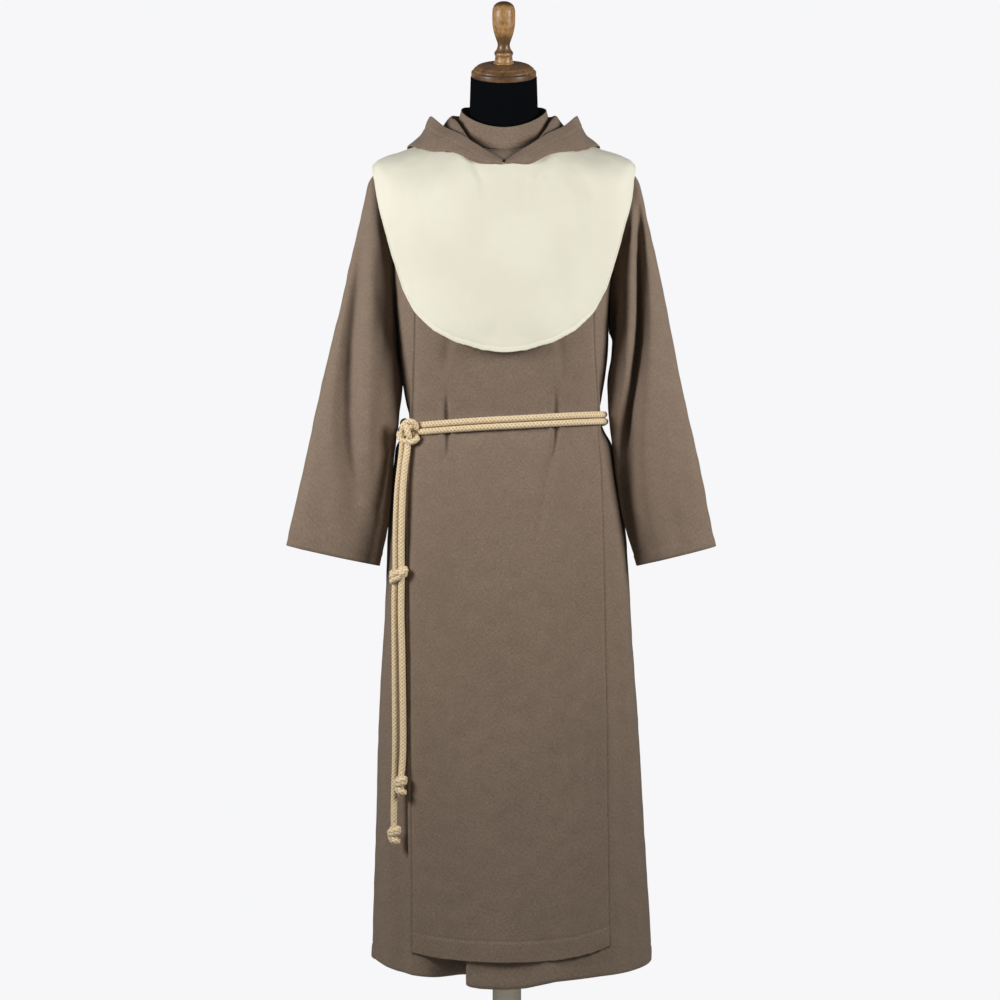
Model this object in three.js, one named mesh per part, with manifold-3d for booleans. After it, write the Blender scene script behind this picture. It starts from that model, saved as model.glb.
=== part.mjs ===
// A monk's habit of brown wool on a limbless dress form: long tunic, scapular, round white
// shoulder cape, hood worn down, mock collar and a doubled rope belt with two knotted tails.
//
// Millimetres, +Z up. The front faces -Y and the wearer's left is +X. The origin is the centre
// of the stand's base, on the floor. Cloth is a thin wall of its real shape; neck, cuffs,
// armholes and hem are open.

import * as THREE from 'three';
import { mergeVertices } from 'three/addons/utils/BufferGeometryUtils.js';
import Module from 'manifold-3d';

// ---------------------------------------------------------------- driving dimensions

const WOOL = 1.8;             // thickness of the brown cloth
const LINEN = 1.6;            // thickness of the white cape
const COLLAR_CLOTH = 2.4;     // the collar is folded double
const SEAM_GAP = 0.3;         // pieces sewn edge to edge stop this far apart
const SEAM_REACH = 4;         // an edge this near to a seam's plane is sewn there
const SLEEVE_GAP = 0.7;       // the armhole's facets need a wider gap
const SCAPULAR_LIFT = 5.8;    // outer face of the scapular above the tunic's
const CAPE_LIFT = 10.4;        // outer face of the cape above what it lies on
const NECK_X = -5.5;          // the neck leans this far off the stand's axis

const ROPE = 11.5;            // diameter of the rope
const ROPE_PITCH = 12;        // spacing of the two strands around the waist
const BELT_TOP = 1123;        // height of the belt's upper edge over the stand's axis
const BELT_TILT = 0.066;      // the belt sinks towards the knot

const BASE_RADIUS = 200;
const BASE_HEIGHT = 24;
const POLE_RADIUS = 25;
const FORM_BOTTOM = 880;
const NECK_TILT = 21;         // degrees that the neck plate faces forward

// Rings of the tunic's outer face, from the neck to the hem. Each ring is a superellipse: its
// half width and height at the sides, its depth and height in front and behind, its squareness
// and the X of its middle.
const ring = (side, sideZ, front, frontZ, back, backZ, square, middle) => (
  { side, sideZ, front, frontZ, back, backZ, square, middle }
);
const level = (z, side, front, back, square, middle) => (
  ring(side, z, front, z, back, z, square, middle)
);

const TUNIC_RINGS = [
  //   side  sideZ  front frontZ back backZ square middle
  ring(80, 1616, 84, 1581, 70, 1634, 2.0, NECK_X),
  ring(125, 1597, 101, 1556, 84, 1614, 2.1, NECK_X),
  ring(168, 1583, 113, 1517, 98, 1576, 2.2, NECK_X),
  ring(198, 1572, 121, 1468, 108, 1527, 2.35, -5),
  ring(203, 1556, 123, 1430, 110, 1485, 2.4, -5),
  ring(198, 1480, 124.5, 1380, 112, 1420, 2.4, -5.5),
  ring(189, 1330, 124, 1300, 112, 1310, 2.35, -7.5),
  //    z     side  front  back  square  middle
  level(1232, 183, 121, 109, 2.3, -6),
  level(1170, 174, 113, 103, 2.25, -6.5),
  level(1147, 170, 110, 100.5, 2.25, -6.5),
  level(1124, 165.5, 107, 98, 2.25, -5.5),
  level(1102, 172, 110, 101, 2.2, -3),
  level(1072, 189, 121, 110, 2.25, -4.5),
  level(1037, 193.5, 128, 116, 2.3, -4),
  level(1003, 198, 134, 121, 2.3, -3.5),
  level(920, 206.5, 144, 130, 2.3, -0.8),
  level(752, 215, 158, 144, 2.3, 2),
  level(595, 225, 170, 157, 2.3, 3),
  level(437, 232, 181, 169, 2.3, 4.6),
  level(280, 239, 192, 181, 2.3, 6.4),
  ring(243, 183, 199, 166, 188, 181, 2.3, 7.5),
];

// Height of the hem in front, by the X that its cloth has before it is pleated.
const HEM_LINE = [
  { x: -236, z: 186 },
  { x: -226, z: 190 },
  { x: -190, z: 182 },
  { x: -160, z: 179.5 },
  { x: -147, z: 178 },
  { x: -133, z: 177 },
  { x: -118, z: 172 },
  { x: -104, z: 172 },
  { x: -89, z: 171 },
  { x: -74, z: 169.5 },
  { x: -45, z: 165 },
  { x: -5, z: 164 },
  { x: 30, z: 166 },
  { x: 80, z: 176 },
  { x: 157, z: 180 },
  { x: 210, z: 180.5 },
  { x: 250, z: 183 },
];

// What the cape lies on: the body with the heads of the sleeves.
const YOKE_RINGS = [
  //   side  sideZ  front frontZ back backZ square middle
  ring(80, 1616, 84, 1581, 70, 1634, 2.0, NECK_X),
  ring(125, 1597, 101, 1556, 84, 1614, 2.1, NECK_X),
  ring(168, 1583, 114, 1517, 99.5, 1576, 2.25, NECK_X),
  ring(203, 1572, 122, 1468, 109.5, 1527, 2.3, -5),
  ring(219, 1561, 128, 1415, 114.5, 1465, 2.2, -4.5),
  ring(224, 1535, 132, 1350, 118, 1390, 2.1, -4.5),
  ring(227, 1490, 137, 1280, 122, 1310, 2.0, -4.5),
  ring(229, 1430, 141, 1200, 125, 1220, 2.0, -4.5),
  ring(231, 1370, 144, 1120, 128, 1140, 2.0, -4.5),
];

// The cape's outline, as half its width at each height.
const CAPE_MIDDLE = -4.5;
const CAPE_OUTLINE = [
  { z: 1230, half: 0 },
  { z: 1234, half: 38 },
  { z: 1248, half: 83 },
  { z: 1269, half: 121 },
  { z: 1300, half: 152 },
  { z: 1342, half: 175 },
  { z: 1426, half: 201 },
  { z: 1532, half: 225 },
  { z: 1568, half: 229.6 },
  { z: 1700, half: 229.6 },
];

// The scapular's edges: the wearer's right edge is at minX, the left one at maxX.
const SCAPULAR_EDGES = [
  { z: 1620, minX: -150, maxX: 140 },
  { z: 1240, minX: -159, maxX: 150 },
  { z: 1124, minX: -163, maxX: 155 },
  { z: 1030, minX: -170, maxX: 162 },
  { z: 805, minX: -168, maxX: 167 },
  { z: 545, minX: -165, maxX: 171 },
  { z: 200, minX: -162, maxX: 175 },
];
const SCAPULAR_BOTTOM = { middle: 209, right: 219, left: 231 };

// The sleeves: the outer and inner edge of each section, its middle in Y, half its depth, and
// the soft trough down its front, as a share of the width from the outer edge and a depth.
const section = (outerX, outerZ, innerX, innerZ, y, depth, troughAt, trough) => (
  { outerX, outerZ, innerX, innerZ, y, depth, troughAt, trough }
);

const RIGHT_SLEEVE = [
  //      outerX outerZ innerX innerZ  y  depth troughAt trough
  section(-188, 1556, -174, 1284, 0, 26, 0.1, 0),
  section(-212, 1566, -187.5, 1270, 0, 32, 0.1, 0),
  section(-228, 1552, -190.5, 1260, 0, 43, 0.1, 0),
  section(-239, 1535, -190, 1248, -2, 51, 0.06, 2),
  section(-255, 1463, -189, 1224, -6, 56, 0.09, 7),
  section(-276, 1369, -184, 1185, -15, 58, 0.18, 18),
  section(-303, 1248, -188, 1134, -27, 57, 0.28, 20),
  section(-332, 1117, -197, 1052, -42, 54, 0.45, 16),
  section(-358, 1000, -204.5, 950, -48, 49, 0.65, 11),
  section(-380, 902, -221.5, 867, -50, 44, 0.82, 4),
];

const LEFT_SLEEVE = [
  //      outerX outerZ innerX innerZ  y  depth troughAt trough
  section(178, 1556, 164, 1284, 0, 26, 0.1, 0),
  section(203, 1566, 179, 1268, 0, 32, 0.1, 0),
  section(221, 1552, 182.5, 1256, 0, 43, 0.1, 2),
  section(232, 1535, 182, 1244, -2, 51, 0.12, 6),
  section(247, 1463, 180.5, 1224, -6, 56, 0.27, 22),
  section(266, 1369, 175.5, 1185, -15, 58, 0.4, 32),
  section(290, 1248, 177.5, 1134, -27, 57, 0.63, 34),
  section(317, 1117, 184.5, 1052, -42, 54, 0.83, 28),
  section(341, 1000, 199.5, 950, -48, 49, 0.93, 15),
  section(361, 901, 225, 867, -50, 44, 0.95, 4),
];

// The hood, laid down. Each row is a section at an angle around the neck, 0 at the side and
// 90 behind, as distances from the neck's axis and heights: the rim of the face opening, the
// belly of the outer layer, the fold it hangs to, the hollow, the crest by the collar, the seam.
const station = (angle, rim, belly, fold, hollow, crest, seam) => (
  { angle, sections: [rim, belly, fold, hollow, crest, seam] }
);

const HOOD_STATIONS = [
  //    angle   rim          belly          fold           hollow       crest          seam
  station(-88.5, [108, 1564], [113.5, 1562.5], [117, 1558.5], [114.5, 1556.5], [111.5, 1557], [110, 1559.5]),
  station(-67, [107, 1586], [117, 1577], [122.5, 1567], [114, 1568], [107, 1574], [106, 1571]),
  station(-45, [104, 1609], [116, 1597], [123, 1580], [112, 1586], [95, 1608], [93, 1597]),
  station(-23, [112, 1627], [130, 1612], [143, 1588], [114, 1601], [91, 1636], [88, 1617]),
  station(0, [128, 1650], [144, 1624], [166, 1602], [118, 1621], [91, 1651], [87, 1628]),
  station(25, [138, 1650], [158, 1621], [180, 1591], [128, 1626], [93, 1656], [86, 1641]),
  station(48, [141, 1638], [178, 1590], [176, 1512], [132, 1600], [92, 1658], [82, 1645]),
  station(70, [146, 1616], [174, 1540], [155, 1430], [124, 1562], [92, 1661], [80, 1646]),
  station(90, [149, 1602], [168, 1505], [142, 1385], [120, 1540], [92, 1660], [79, 1646]),
];

// The black form under the habit, from the neck plate down.
const lean = (z, y, side, depth, tilt, middle) => {
  const rise = depth * Math.sin(THREE.MathUtils.degToRad(tilt));
  const reach = depth * Math.cos(THREE.MathUtils.degToRad(tilt));
  return { ...ring(side, z, reach, z - rise, reach, z + rise, 2, middle), y };
};

const FORM_RINGS = [
  //   z     y   side depth tilt middle
  lean(1714, -34, 57.5, 56, NECK_TILT, NECK_X),
  lean(1690, -25, 58.5, 57.5, 19, NECK_X),
  lean(1655, -13, 60, 59, 17, NECK_X),
  //   side  sideZ  front frontZ back backZ square middle
  ring(66, 1618, 70, 1590, 57, 1642, 2.0, NECK_X),
  ring(84, 1605, 80, 1570, 66, 1626, 2.0, NECK_X),
  ring(119, 1588, 94, 1544, 76, 1601, 2.1, NECK_X),
  ring(156, 1574, 104, 1506, 88, 1564, 2.2, NECK_X),
  ring(181, 1562, 112, 1459, 99, 1516, 2.35, NECK_X),
  ring(187, 1541, 115, 1422, 102, 1471, 2.4, -5),
  ring(178, 1440, 116, 1380, 103, 1405, 2.4, -5),
  level(1320, 168, 112, 100, 2.4, -4),
  level(1215, 146, 98, 88, 2.3, -3),
  level(1135, 134, 90, 82, 2.2, -3),
  level(1040, 152, 104, 98, 2.3, -1),
  level(950, 165, 112, 110, 2.4, 0),
  level(FORM_BOTTOM, 162, 110, 108, 2.4, 0),
];

// ---------------------------------------------------------------- colours and finishes

const cloth = (colour) => new THREE.MeshStandardMaterial({ color: colour, roughness: 0.95 });
const BROWN = 0x786a5d;
const WHITE = 0xf1eee0;
const STRAW = 0xd3bf9c;

// ---------------------------------------------------------------- tools for cloth

const { PI } = Math;
const mix = THREE.MathUtils.lerp;
const clamp = THREE.MathUtils.clamp;
const ease = (x) => THREE.MathUtils.smoothstep(x, 0, 1);
const signedPower = (value, power) => Math.sign(value) * Math.abs(value) ** power;

// One column of a table at a given value of another.
function lookUp(table, from, to, value) {
  const rising = [...table].sort((p, q) => p[from] - q[from]);
  const next = clamp(rising.findIndex((row) => row[from] > value), 1, rising.length - 1);
  const row = value >= rising[rising.length - 1][from] ? rising.length - 1 : next;
  const low = rising[row - 1];
  const high = rising[row];
  return mix(low[to], high[to], clamp((value - low[from]) / (high[from] - low[from]), 0, 1));
}

// The ring at any place along a table of rings.
function ringAt(rings, t) {
  const i = clamp(Math.floor(t), 0, rings.length - 2);
  const result = {};
  for (const key of Object.keys(rings[0])) {
    result[key] = mix(rings[i][key], rings[i + 1][key], t - i);
  }
  return result;
}

// A point of a ring; the angle is 0 at +X and -90 degrees in front.
function onRing(row, angle) {
  const c = Math.cos(angle);
  const s = Math.sin(angle);
  const depth = s < 0 ? row.front : row.back;
  const across = row.side * signedPower(c, 2 / row.square);
  const along = depth * signedPower(s, 2 / row.square);
  const tip = (row.backZ - row.frontZ) / 2;
  const bend = (row.backZ + row.frontZ) / 2 - row.sideZ;
  return new THREE.Vector3(row.middle + across, (row.y ?? 0) + along, row.sideZ + tip * s + bend * s * s);
}

// The outward direction of a surface of rings at (t, angle).
function ringNormal(rings, t, angle) {
  const step = 0.02;
  const down = onRing(ringAt(rings, Math.min(t + step, rings.length - 1)), angle)
    .sub(onRing(ringAt(rings, Math.max(t - step, 0)), angle));
  const round = onRing(ringAt(rings, t), angle + step).sub(onRing(ringAt(rings, t), angle - step));
  return down.cross(round).normalize();
}

function lifted(rings, t, angle, lift) {
  return onRing(ringAt(rings, t), angle).addScaledVector(ringNormal(rings, t, angle), lift);
}

// The angle at which a ring reaches a given X, on its front or back half.
function angleAt(row, x, half) {
  const share = clamp((x - row.middle) / row.side, -1, 1);
  const angle = Math.acos(clamp(signedPower(share, row.square / 2), -1, 1));
  return half === 'front' ? -angle : angle;
}

function geometryOf(points, faces) {
  const geometry = new THREE.BufferGeometry();
  geometry.setAttribute('position', new THREE.Float32BufferAttribute(points.flatMap((p) => p.toArray()), 3));
  geometry.setIndex(faces.flat());
  return geometry;
}

// A wall of cloth from a grid of points of its outer face. Rows run down and columns run
// anticlockwise seen from above, so that the wall's outside is on the right hand; `around`
// closes each row on itself. A `seam` is the plane at which a neighbouring piece is sewn on.
function clothWall(outer, thickness, { around = false, seam = null } = {}) {
  const rows = outer.length;
  const columns = outer[0].length;
  const at = (i, j) => outer[clamp(i, 0, rows - 1)][
    around ? (j + columns) % columns : clamp(j, 0, columns - 1)];
  const face = [];
  const back = [];
  for (let i = 0; i < rows; i += 1) {
    for (let j = 0; j < columns; j += 1) {
      const point = at(i, j).clone();
      const down = at(i + 1, j).clone().sub(at(i - 1, j));
      const round = at(i, j + 1).clone().sub(at(i, j - 1));
      const normal = down.cross(round).normalize();
      if (seam && Math.abs(point[seam.axis] - seam.at) < SEAM_REACH) {
        point[seam.axis] = seam.at + (seam.side * SEAM_GAP) / 2;
        normal[seam.axis] = 0;
        normal.normalize();
      }
      face.push(point);
      back.push(point.clone().addScaledVector(normal, -thickness));
    }
  }
  const count = rows * columns;
  const index = (i, j, layer) => layer * count + i * columns + ((j + columns) % columns);
  const faces = [];
  const quad = (a, b, c, d) => faces.push([a, b, c], [a, c, d]);
  const spans = around ? columns : columns - 1;
  for (let i = 0; i < rows - 1; i += 1) {
    for (let j = 0; j < spans; j += 1) {
      quad(index(i, j, 0), index(i + 1, j, 0), index(i + 1, j + 1, 0), index(i, j + 1, 0));
      quad(index(i, j, 1), index(i, j + 1, 1), index(i + 1, j + 1, 1), index(i + 1, j, 1));
    }
  }
  for (let j = 0; j < spans; j += 1) {
    const end = rows - 1;
    quad(index(0, j, 0), index(0, j + 1, 0), index(0, j + 1, 1), index(0, j, 1));
    quad(index(end, j, 1), index(end, j + 1, 1), index(end, j + 1, 0), index(end, j, 0));
  }
  if (!around) {
    for (let i = 0; i < rows - 1; i += 1) {
      const end = columns - 1;
      quad(index(i, 0, 1), index(i + 1, 0, 1), index(i + 1, 0, 0), index(i, 0, 0));
      quad(index(i, end, 0), index(i + 1, end, 0), index(i + 1, end, 1), index(i, end, 1));
    }
  }
  return geometryOf([...face, ...back], faces);
}

// A solid filled by closed rings, with flat fans over its two ends.
function filled(rings) {
  const columns = rings[0].length;
  const points = rings.flat();
  const faces = [];
  for (let i = 0; i < rings.length - 1; i += 1) {
    for (let j = 0; j < columns; j += 1) {
      const a = i * columns + j;
      const b = i * columns + ((j + 1) % columns);
      faces.push([a, a + columns, b + columns], [a, b + columns, b]);
    }
  }
  const centre = (row) => row.reduce((sum, p) => sum.add(p), new THREE.Vector3()).divideScalar(columns);
  points.push(centre(rings[0]), centre(rings[rings.length - 1]));
  const top = points.length - 2;
  const last = (rings.length - 1) * columns;
  for (let j = 0; j < columns; j += 1) {
    const next = (j + 1) % columns;
    faces.push([top, j, next], [top + 1, last + next, last + j]);
  }
  return geometryOf(points, faces);
}

// ---------------------------------------------------------------- cutting

const wasm = await Module();
wasm.setup();

function solidOf(geometry) {
  const bare = geometry.clone();
  bare.deleteAttribute('normal');
  bare.deleteAttribute('uv');
  const merged = mergeVertices(bare, 1e-4);
  return new wasm.Manifold(new wasm.Mesh({
    numProp: 3,
    vertProperties: new Float32Array(merged.attributes.position.array),
    triVerts: new Uint32Array(merged.index.array),
  }));
}

// The piece left when the cutters are taken out; crumbs at the cut are dropped.
function cut(geometry, ...cutters) {
  const whole = cutters.reduce((body, cutter) => body.subtract(solidOf(cutter)), solidOf(geometry));
  const largest = whole.decompose().sort((p, q) => q.volume() - p.volume())[0];
  const mesh = largest.getMesh();
  const result = new THREE.BufferGeometry();
  result.setAttribute('position', new THREE.BufferAttribute(mesh.vertProperties, 3));
  result.setIndex(new THREE.BufferAttribute(mesh.triVerts, 1));
  return result;
}

const habit = new THREE.Group();

function add(name, geometry, material) {
  const mesh = new THREE.Mesh(geometry, material);
  mesh.name = name;
  habit.add(mesh);
  return mesh;
}

// ---------------------------------------------------------------- sleeves

const SLEEVE_COLUMNS = 24;
const TROUGH_WIDTH = 0.12;
const INNER_SLOPE = 0.4;      // how much flatter the front is towards the body

// Rings of a sleeve from the shoulder to the cuff, moved inwards by `inset`.
function sleeveRings(table, inset) {
  const side = Math.sign(table[0].outerX);
  return table.map((row) => {
    const outer = new THREE.Vector3(row.outerX, row.y, row.outerZ);
    const inner = new THREE.Vector3(row.innerX, row.y, row.innerZ);
    const half = outer.clone().sub(inner).multiplyScalar(0.5);
    const middle = outer.clone().add(inner).multiplyScalar(0.5);
    const shrink = 1 - inset / half.length();
    const points = [];
    for (let j = 0; j < SLEEVE_COLUMNS; j += 1) {
      const angle = (side * 2 * PI * j) / SLEEVE_COLUMNS;
      const c = signedPower(Math.cos(angle), 0.9);
      const s = signedPower(Math.sin(angle), 0.9);
      const share = (1 - c) / 2;
      const point = middle.clone().addScaledVector(half, c * shrink);
      point.y += s * (row.depth - inset);
      if (s < 0) {
        const dip = row.trough * Math.exp(-(((share - row.troughAt) / TROUGH_WIDTH) ** 2));
        point.y -= s * (dip + INNER_SLOPE * row.depth * ease((share - 0.66) / 0.34));
      }
      points.push(point);
    }
    return side > 0 ? points : points.reverse();
  });
}

// ---------------------------------------------------------------- tunic

const FRONT_COLUMNS = { right: 6, left: 11 };
const BACK_COLUMNS = 18;
const BODY_COLUMNS = 40;

// The deep knife pleat in front, which opens towards the hem: places across the cloth from the
// pleat's edge, and how far the cloth goes back there.
const PLEAT_EDGE = -67;
const PLEAT_TOP = 840;
const PLEAT = [
  { x: -95, back: 0 },
  { x: -60, back: 8 },
  { x: -28, back: 38 },
  { x: 2, back: 70 },
  { x: 20, back: 66 },
  { x: 11, back: 38 },
  { x: -1, back: 7 },
  { x: 5, back: 0 },
  { x: 22, back: 0 },
];

const HEM = TUNIC_RINGS.at(-1);
const PLEAT_START = angleAt(HEM, PLEAT_EDGE + PLEAT[0].x, 'front');
const PLEAT_END = angleAt(HEM, PLEAT_EDGE + PLEAT.at(-1).x, 'front');

// A point of the front before it is pleated.
function frontPoint(row, angle) {
  const point = onRing(row, angle);
  if (row === HEM) point.z = lookUp(HEM_LINE, 'x', 'z', point.x);
  return point;
}

function pleated(row) {
  const open = ease((PLEAT_TOP - row.sideZ) / (PLEAT_TOP - HEM.sideZ));
  return PLEAT.map((fold, k) => {
    const flat = frontPoint(row, mix(PLEAT_START, PLEAT_END, k / (PLEAT.length - 1)));
    const folded = onRing(row, angleAt(row, PLEAT_EDGE + fold.x, 'front'));
    folded.y += fold.back;
    folded.z = flat.z;
    return flat.lerp(folded, open);
  });
}

function tunicFront() {
  return TUNIC_RINGS.map((row) => {
    const points = [];
    for (let j = 0; j < FRONT_COLUMNS.right; j += 1) {
      points.push(frontPoint(row, mix(-PI, PLEAT_START, j / FRONT_COLUMNS.right)));
    }
    points.push(...pleated(row));
    for (let j = 1; j <= FRONT_COLUMNS.left; j += 1) {
      points.push(frontPoint(row, mix(PLEAT_END, 0, j / FRONT_COLUMNS.left)));
    }
    return points;
  });
}

function tunicBack() {
  return TUNIC_RINGS.map((row) => {
    const points = [];
    for (let j = 0; j <= BACK_COLUMNS; j += 1) {
      points.push(onRing(row, (PI * j) / BACK_COLUMNS));
    }
    return points;
  });
}

// The room that the tunic takes up, with the gap to the sleeve's seam.
function tunicBody() {
  return filled(TUNIC_RINGS.map((row, t) => {
    const points = [];
    for (let j = 0; j < BODY_COLUMNS; j += 1) {
      points.push(lifted(TUNIC_RINGS, t, (2 * PI * j) / BODY_COLUMNS, SLEEVE_GAP));
    }
    return points;
  }));
}

const sides = { front: { axis: 'y', at: 0, side: -1 }, back: { axis: 'y', at: 0, side: 1 } };
const passages = [RIGHT_SLEEVE, LEFT_SLEEVE].map((table) => filled(sleeveRings(table, WOOL)));

add('tunic_front', cut(clothWall(tunicFront(), WOOL, { seam: sides.front }), ...passages), cloth(BROWN));
add('tunic_back', cut(clothWall(tunicBack(), WOOL, { seam: sides.back }), ...passages), cloth(BROWN));
const sleeveWall = (table) => clothWall(sleeveRings(table, 0), WOOL, { around: true });
add('sleeve_right', cut(sleeveWall(RIGHT_SLEEVE), tunicBody()), cloth(BROWN));
add('sleeve_left', cut(sleeveWall(LEFT_SLEEVE), tunicBody()), cloth(BROWN));

// ---------------------------------------------------------------- collar

const COLLAR_COLUMNS = 28;
const COLLAR_RINGS = [
  //   side sideZ front frontZ back backZ square middle
  ring(74.5, 1662, 78, 1620, 66, 1674, 2.0, NECK_X),
  ring(79, 1642, 83, 1600, 69, 1658, 2.0, NECK_X),
  ring(80.5, 1617, 85, 1582.5, 70.5, 1635, 2.0, NECK_X),
];

add('collar', clothWall(COLLAR_RINGS.map((row) => {
  const points = [];
  for (let j = 0; j < COLLAR_COLUMNS; j += 1) {
    points.push(onRing(row, (2 * PI * j) / COLLAR_COLUMNS));
  }
  return points;
}), COLLAR_CLOTH, { around: true }), cloth(BROWN));

// ---------------------------------------------------------------- scapular

const SCAPULAR_COLUMNS = 11;
const SHOULDER_ROWS = 5;
const SHOULDER_RING = 3;

// Rows from the shoulder's ridge to the ring below it, and then one for each ring.
function scapular(half) {
  const count = SHOULDER_ROWS + TUNIC_RINGS.length - SHOULDER_RING;
  const rows = [];
  for (let i = 0; i < count; i += 1) {
    const points = [];
    for (let j = 0; j <= SCAPULAR_COLUMNS; j += 1) {
      const share = half === 'front' ? j / SCAPULAR_COLUMNS : 1 - j / SCAPULAR_COLUMNS;
      const level = SHOULDER_RING + i - SHOULDER_ROWS;
      points.push(level < SHOULDER_RING
        ? shoulderPoint(half, share, i / SHOULDER_ROWS)
        : scapularPoint(half, share, level));
    }
    rows.push(points);
  }
  return rows;
}

// The angle on a ring at a share of the scapular's width from the wearer's right.
function scapularAngle(half, across, row) {
  const z = row.frontZ;
  const first = angleAt(row, lookUp(SCAPULAR_EDGES, 'z', 'minX', z), half);
  const last = angleAt(row, lookUp(SCAPULAR_EDGES, 'z', 'maxX', z), half);
  return mix(first, last, across);
}

function scapularPoint(half, across, t) {
  const row = TUNIC_RINGS[t];
  const point = lifted(TUNIC_RINGS, t, scapularAngle(half, across, row), SCAPULAR_LIFT);
  const edge = across < 0.5 ? SCAPULAR_BOTTOM.right : SCAPULAR_BOTTOM.left;
  const bottom = mix(SCAPULAR_BOTTOM.middle, edge, (2 * across - 1) ** 2);
  point.z = Math.max(point.z, bottom);
  return point;
}

// A point on the way from the shoulder's ridge down to the first of those rings.
function shoulderPoint(half, across, down) {
  const last = TUNIC_RINGS[SHOULDER_RING];
  const { x } = onRing(last, scapularAngle(half, across, last));
  const t = mix(ridgeAt(x), SHOULDER_RING, down ** 2);
  return lifted(TUNIC_RINGS, t, angleAt(ringAt(TUNIC_RINGS, t), x, half), SCAPULAR_LIFT);
}

// Where along the tunic's rings the shoulder's ridge has a given X.
function ridgeAt(x) {
  let low = 0.35;
  let high = 3;
  for (let k = 0; k < 24; k += 1) {
    const t = (low + high) / 2;
    const row = ringAt(TUNIC_RINGS, t);
    if (Math.abs(x - row.middle) > row.side) low = t;
    else high = t;
  }
  return (low + high) / 2;
}

add('scapular_front', clothWall(scapular('front'), WOOL, { seam: sides.front }), cloth(BROWN));
add('scapular_back', clothWall(scapular('back'), WOOL, { seam: sides.back }), cloth(BROWN));

// ---------------------------------------------------------------- cape

const CAPE_COLUMNS = 16;
const CAPE_ROWS = 9;
const CAPE_NECK = { side: 0.3, front: 1.15 };

// Where along the yoke's rings the cape is cut off, at a given angle.
function capeEdge(angle) {
  let low = 1.3;
  let high = YOKE_RINGS.length - 1;
  for (let k = 0; k < 24; k += 1) {
    const t = (low + high) / 2;
    const point = lifted(YOKE_RINGS, t, angle, CAPE_LIFT);
    const inside = Math.abs(point.x - CAPE_MIDDLE) < lookUp(CAPE_OUTLINE, 'z', 'half', point.z);
    if (inside && point.z > CAPE_OUTLINE[0].z) low = t;
    else high = t;
  }
  return (low + high) / 2;
}

function cape(half) {
  const first = half === 'front' ? -PI : 0;
  const columns = [];
  for (let j = 0; j <= CAPE_COLUMNS; j += 1) {
    const angle = first + (PI * j) / CAPE_COLUMNS;
    const forward = half === 'front' ? Math.sin(angle) ** 2 : 0;
    const neck = mix(CAPE_NECK.side, CAPE_NECK.front, forward);
    const edge = capeEdge(angle);
    columns.push({ angle, neck, edge });
  }
  const rows = [];
  for (let i = 0; i <= CAPE_ROWS; i += 1) {
    rows.push(columns.map(({ angle, neck, edge }) => (
      lifted(YOKE_RINGS, mix(neck, edge, i / CAPE_ROWS), angle, CAPE_LIFT)
    )));
  }
  return rows;
}

add('cape_front', clothWall(cape('front'), LINEN, { seam: sides.front }), cloth(WHITE));
add('cape_back', clothWall(cape('back'), LINEN, { seam: sides.back }), cloth(WHITE));

// ---------------------------------------------------------------- hood

const HOOD_ROWS = 12;
const HOOD_COLUMNS = 12;

// Half of the hood, to the wearer's left (side 1) or right (side -1), from rim to neck seam.
function hoodHalf(side) {
  const sections = HOOD_STATIONS.map(({ angle, sections: points }) => {
    const turn = THREE.MathUtils.degToRad(angle);
    const line = points.map(([reach, z]) => new THREE.Vector3(
      NECK_X + side * reach * Math.cos(turn),
      reach * Math.sin(turn),
      z,
    ));
    return new THREE.CatmullRomCurve3(line).getPoints(HOOD_ROWS);
  });
  const rows = [];
  for (let i = 0; i <= HOOD_ROWS; i += 1) {
    const line = new THREE.CatmullRomCurve3(sections.map((points) => points[i]));
    const points = line.getPoints(HOOD_COLUMNS);
    rows.push(side > 0 ? points : points.reverse());
  }
  return rows;
}

for (const [name, side] of [['hood_left', 1], ['hood_right', -1]]) {
  const seam = { axis: 'x', at: NECK_X, side };
  add(name, clothWall(hoodHalf(side), WOOL, { seam }), cloth(BROWN));
}

// ---------------------------------------------------------------- rope belt

const KNOT = { x: -171, y: -80, z: 1097, width: 37, depth: 28, height: 43 };
const BELT_RISE = 11;          // how much higher it comes round the wearer's right side
const BELT_LIFT = SCAPULAR_LIFT + ROPE / 2 + 1.6;
const BELT_PRESSED = ROPE / 2 + 0.9; // at the sides, where nothing lies under it but the tunic

// The rope's section, and a tube of it along a route.
function ropeAlong(route, steps, radius = ROPE / 2) {
  const shape = new THREE.Shape();
  const corners = 8;
  for (let k = 0; k < corners; k += 1) {
    const angle = (2 * PI * k) / corners;
    const x = radius * Math.cos(angle);
    const y = radius * Math.sin(angle);
    if (k === 0) shape.moveTo(x, y);
    else shape.lineTo(x, y);
  }
  shape.closePath();
  return new THREE.ExtrudeGeometry(shape, { steps, bevelEnabled: false, extrudePath: route });
}

// A strand around the waist: 0 is the upper one. It runs from the knot round the front, the
// wearer's left and the back to the knot again.
function beltRoute(strand) {
  const points = [];
  const count = 30;
  for (let k = 0; k <= count; k += 1) {
    const angle = THREE.MathUtils.degToRad(mix(-152, 205, k / count));
    const across = 172 * Math.cos(angle);
    const climb = ease((angle - 1.8) / 1.2) * (1 - ease((angle - 3.25) / 0.33));
    const z = BELT_TOP + BELT_TILT * across + BELT_RISE * climb - ROPE / 2 - strand * ROPE_PITCH;
    const t = ringIndexAt(z);
    const row = ringAt(TUNIC_RINGS, t);
    const lift = mix(BELT_PRESSED, BELT_LIFT, ease(5 * Math.abs(Math.sin(angle)) - 0.25));
    row.side += lift;
    row.front += lift;
    row.back += lift;
    const point = onRing(row, angle);
    points.push(new THREE.Vector3(point.x, point.y, z));
  }
  return new THREE.CatmullRomCurve3(points);
}

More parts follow.
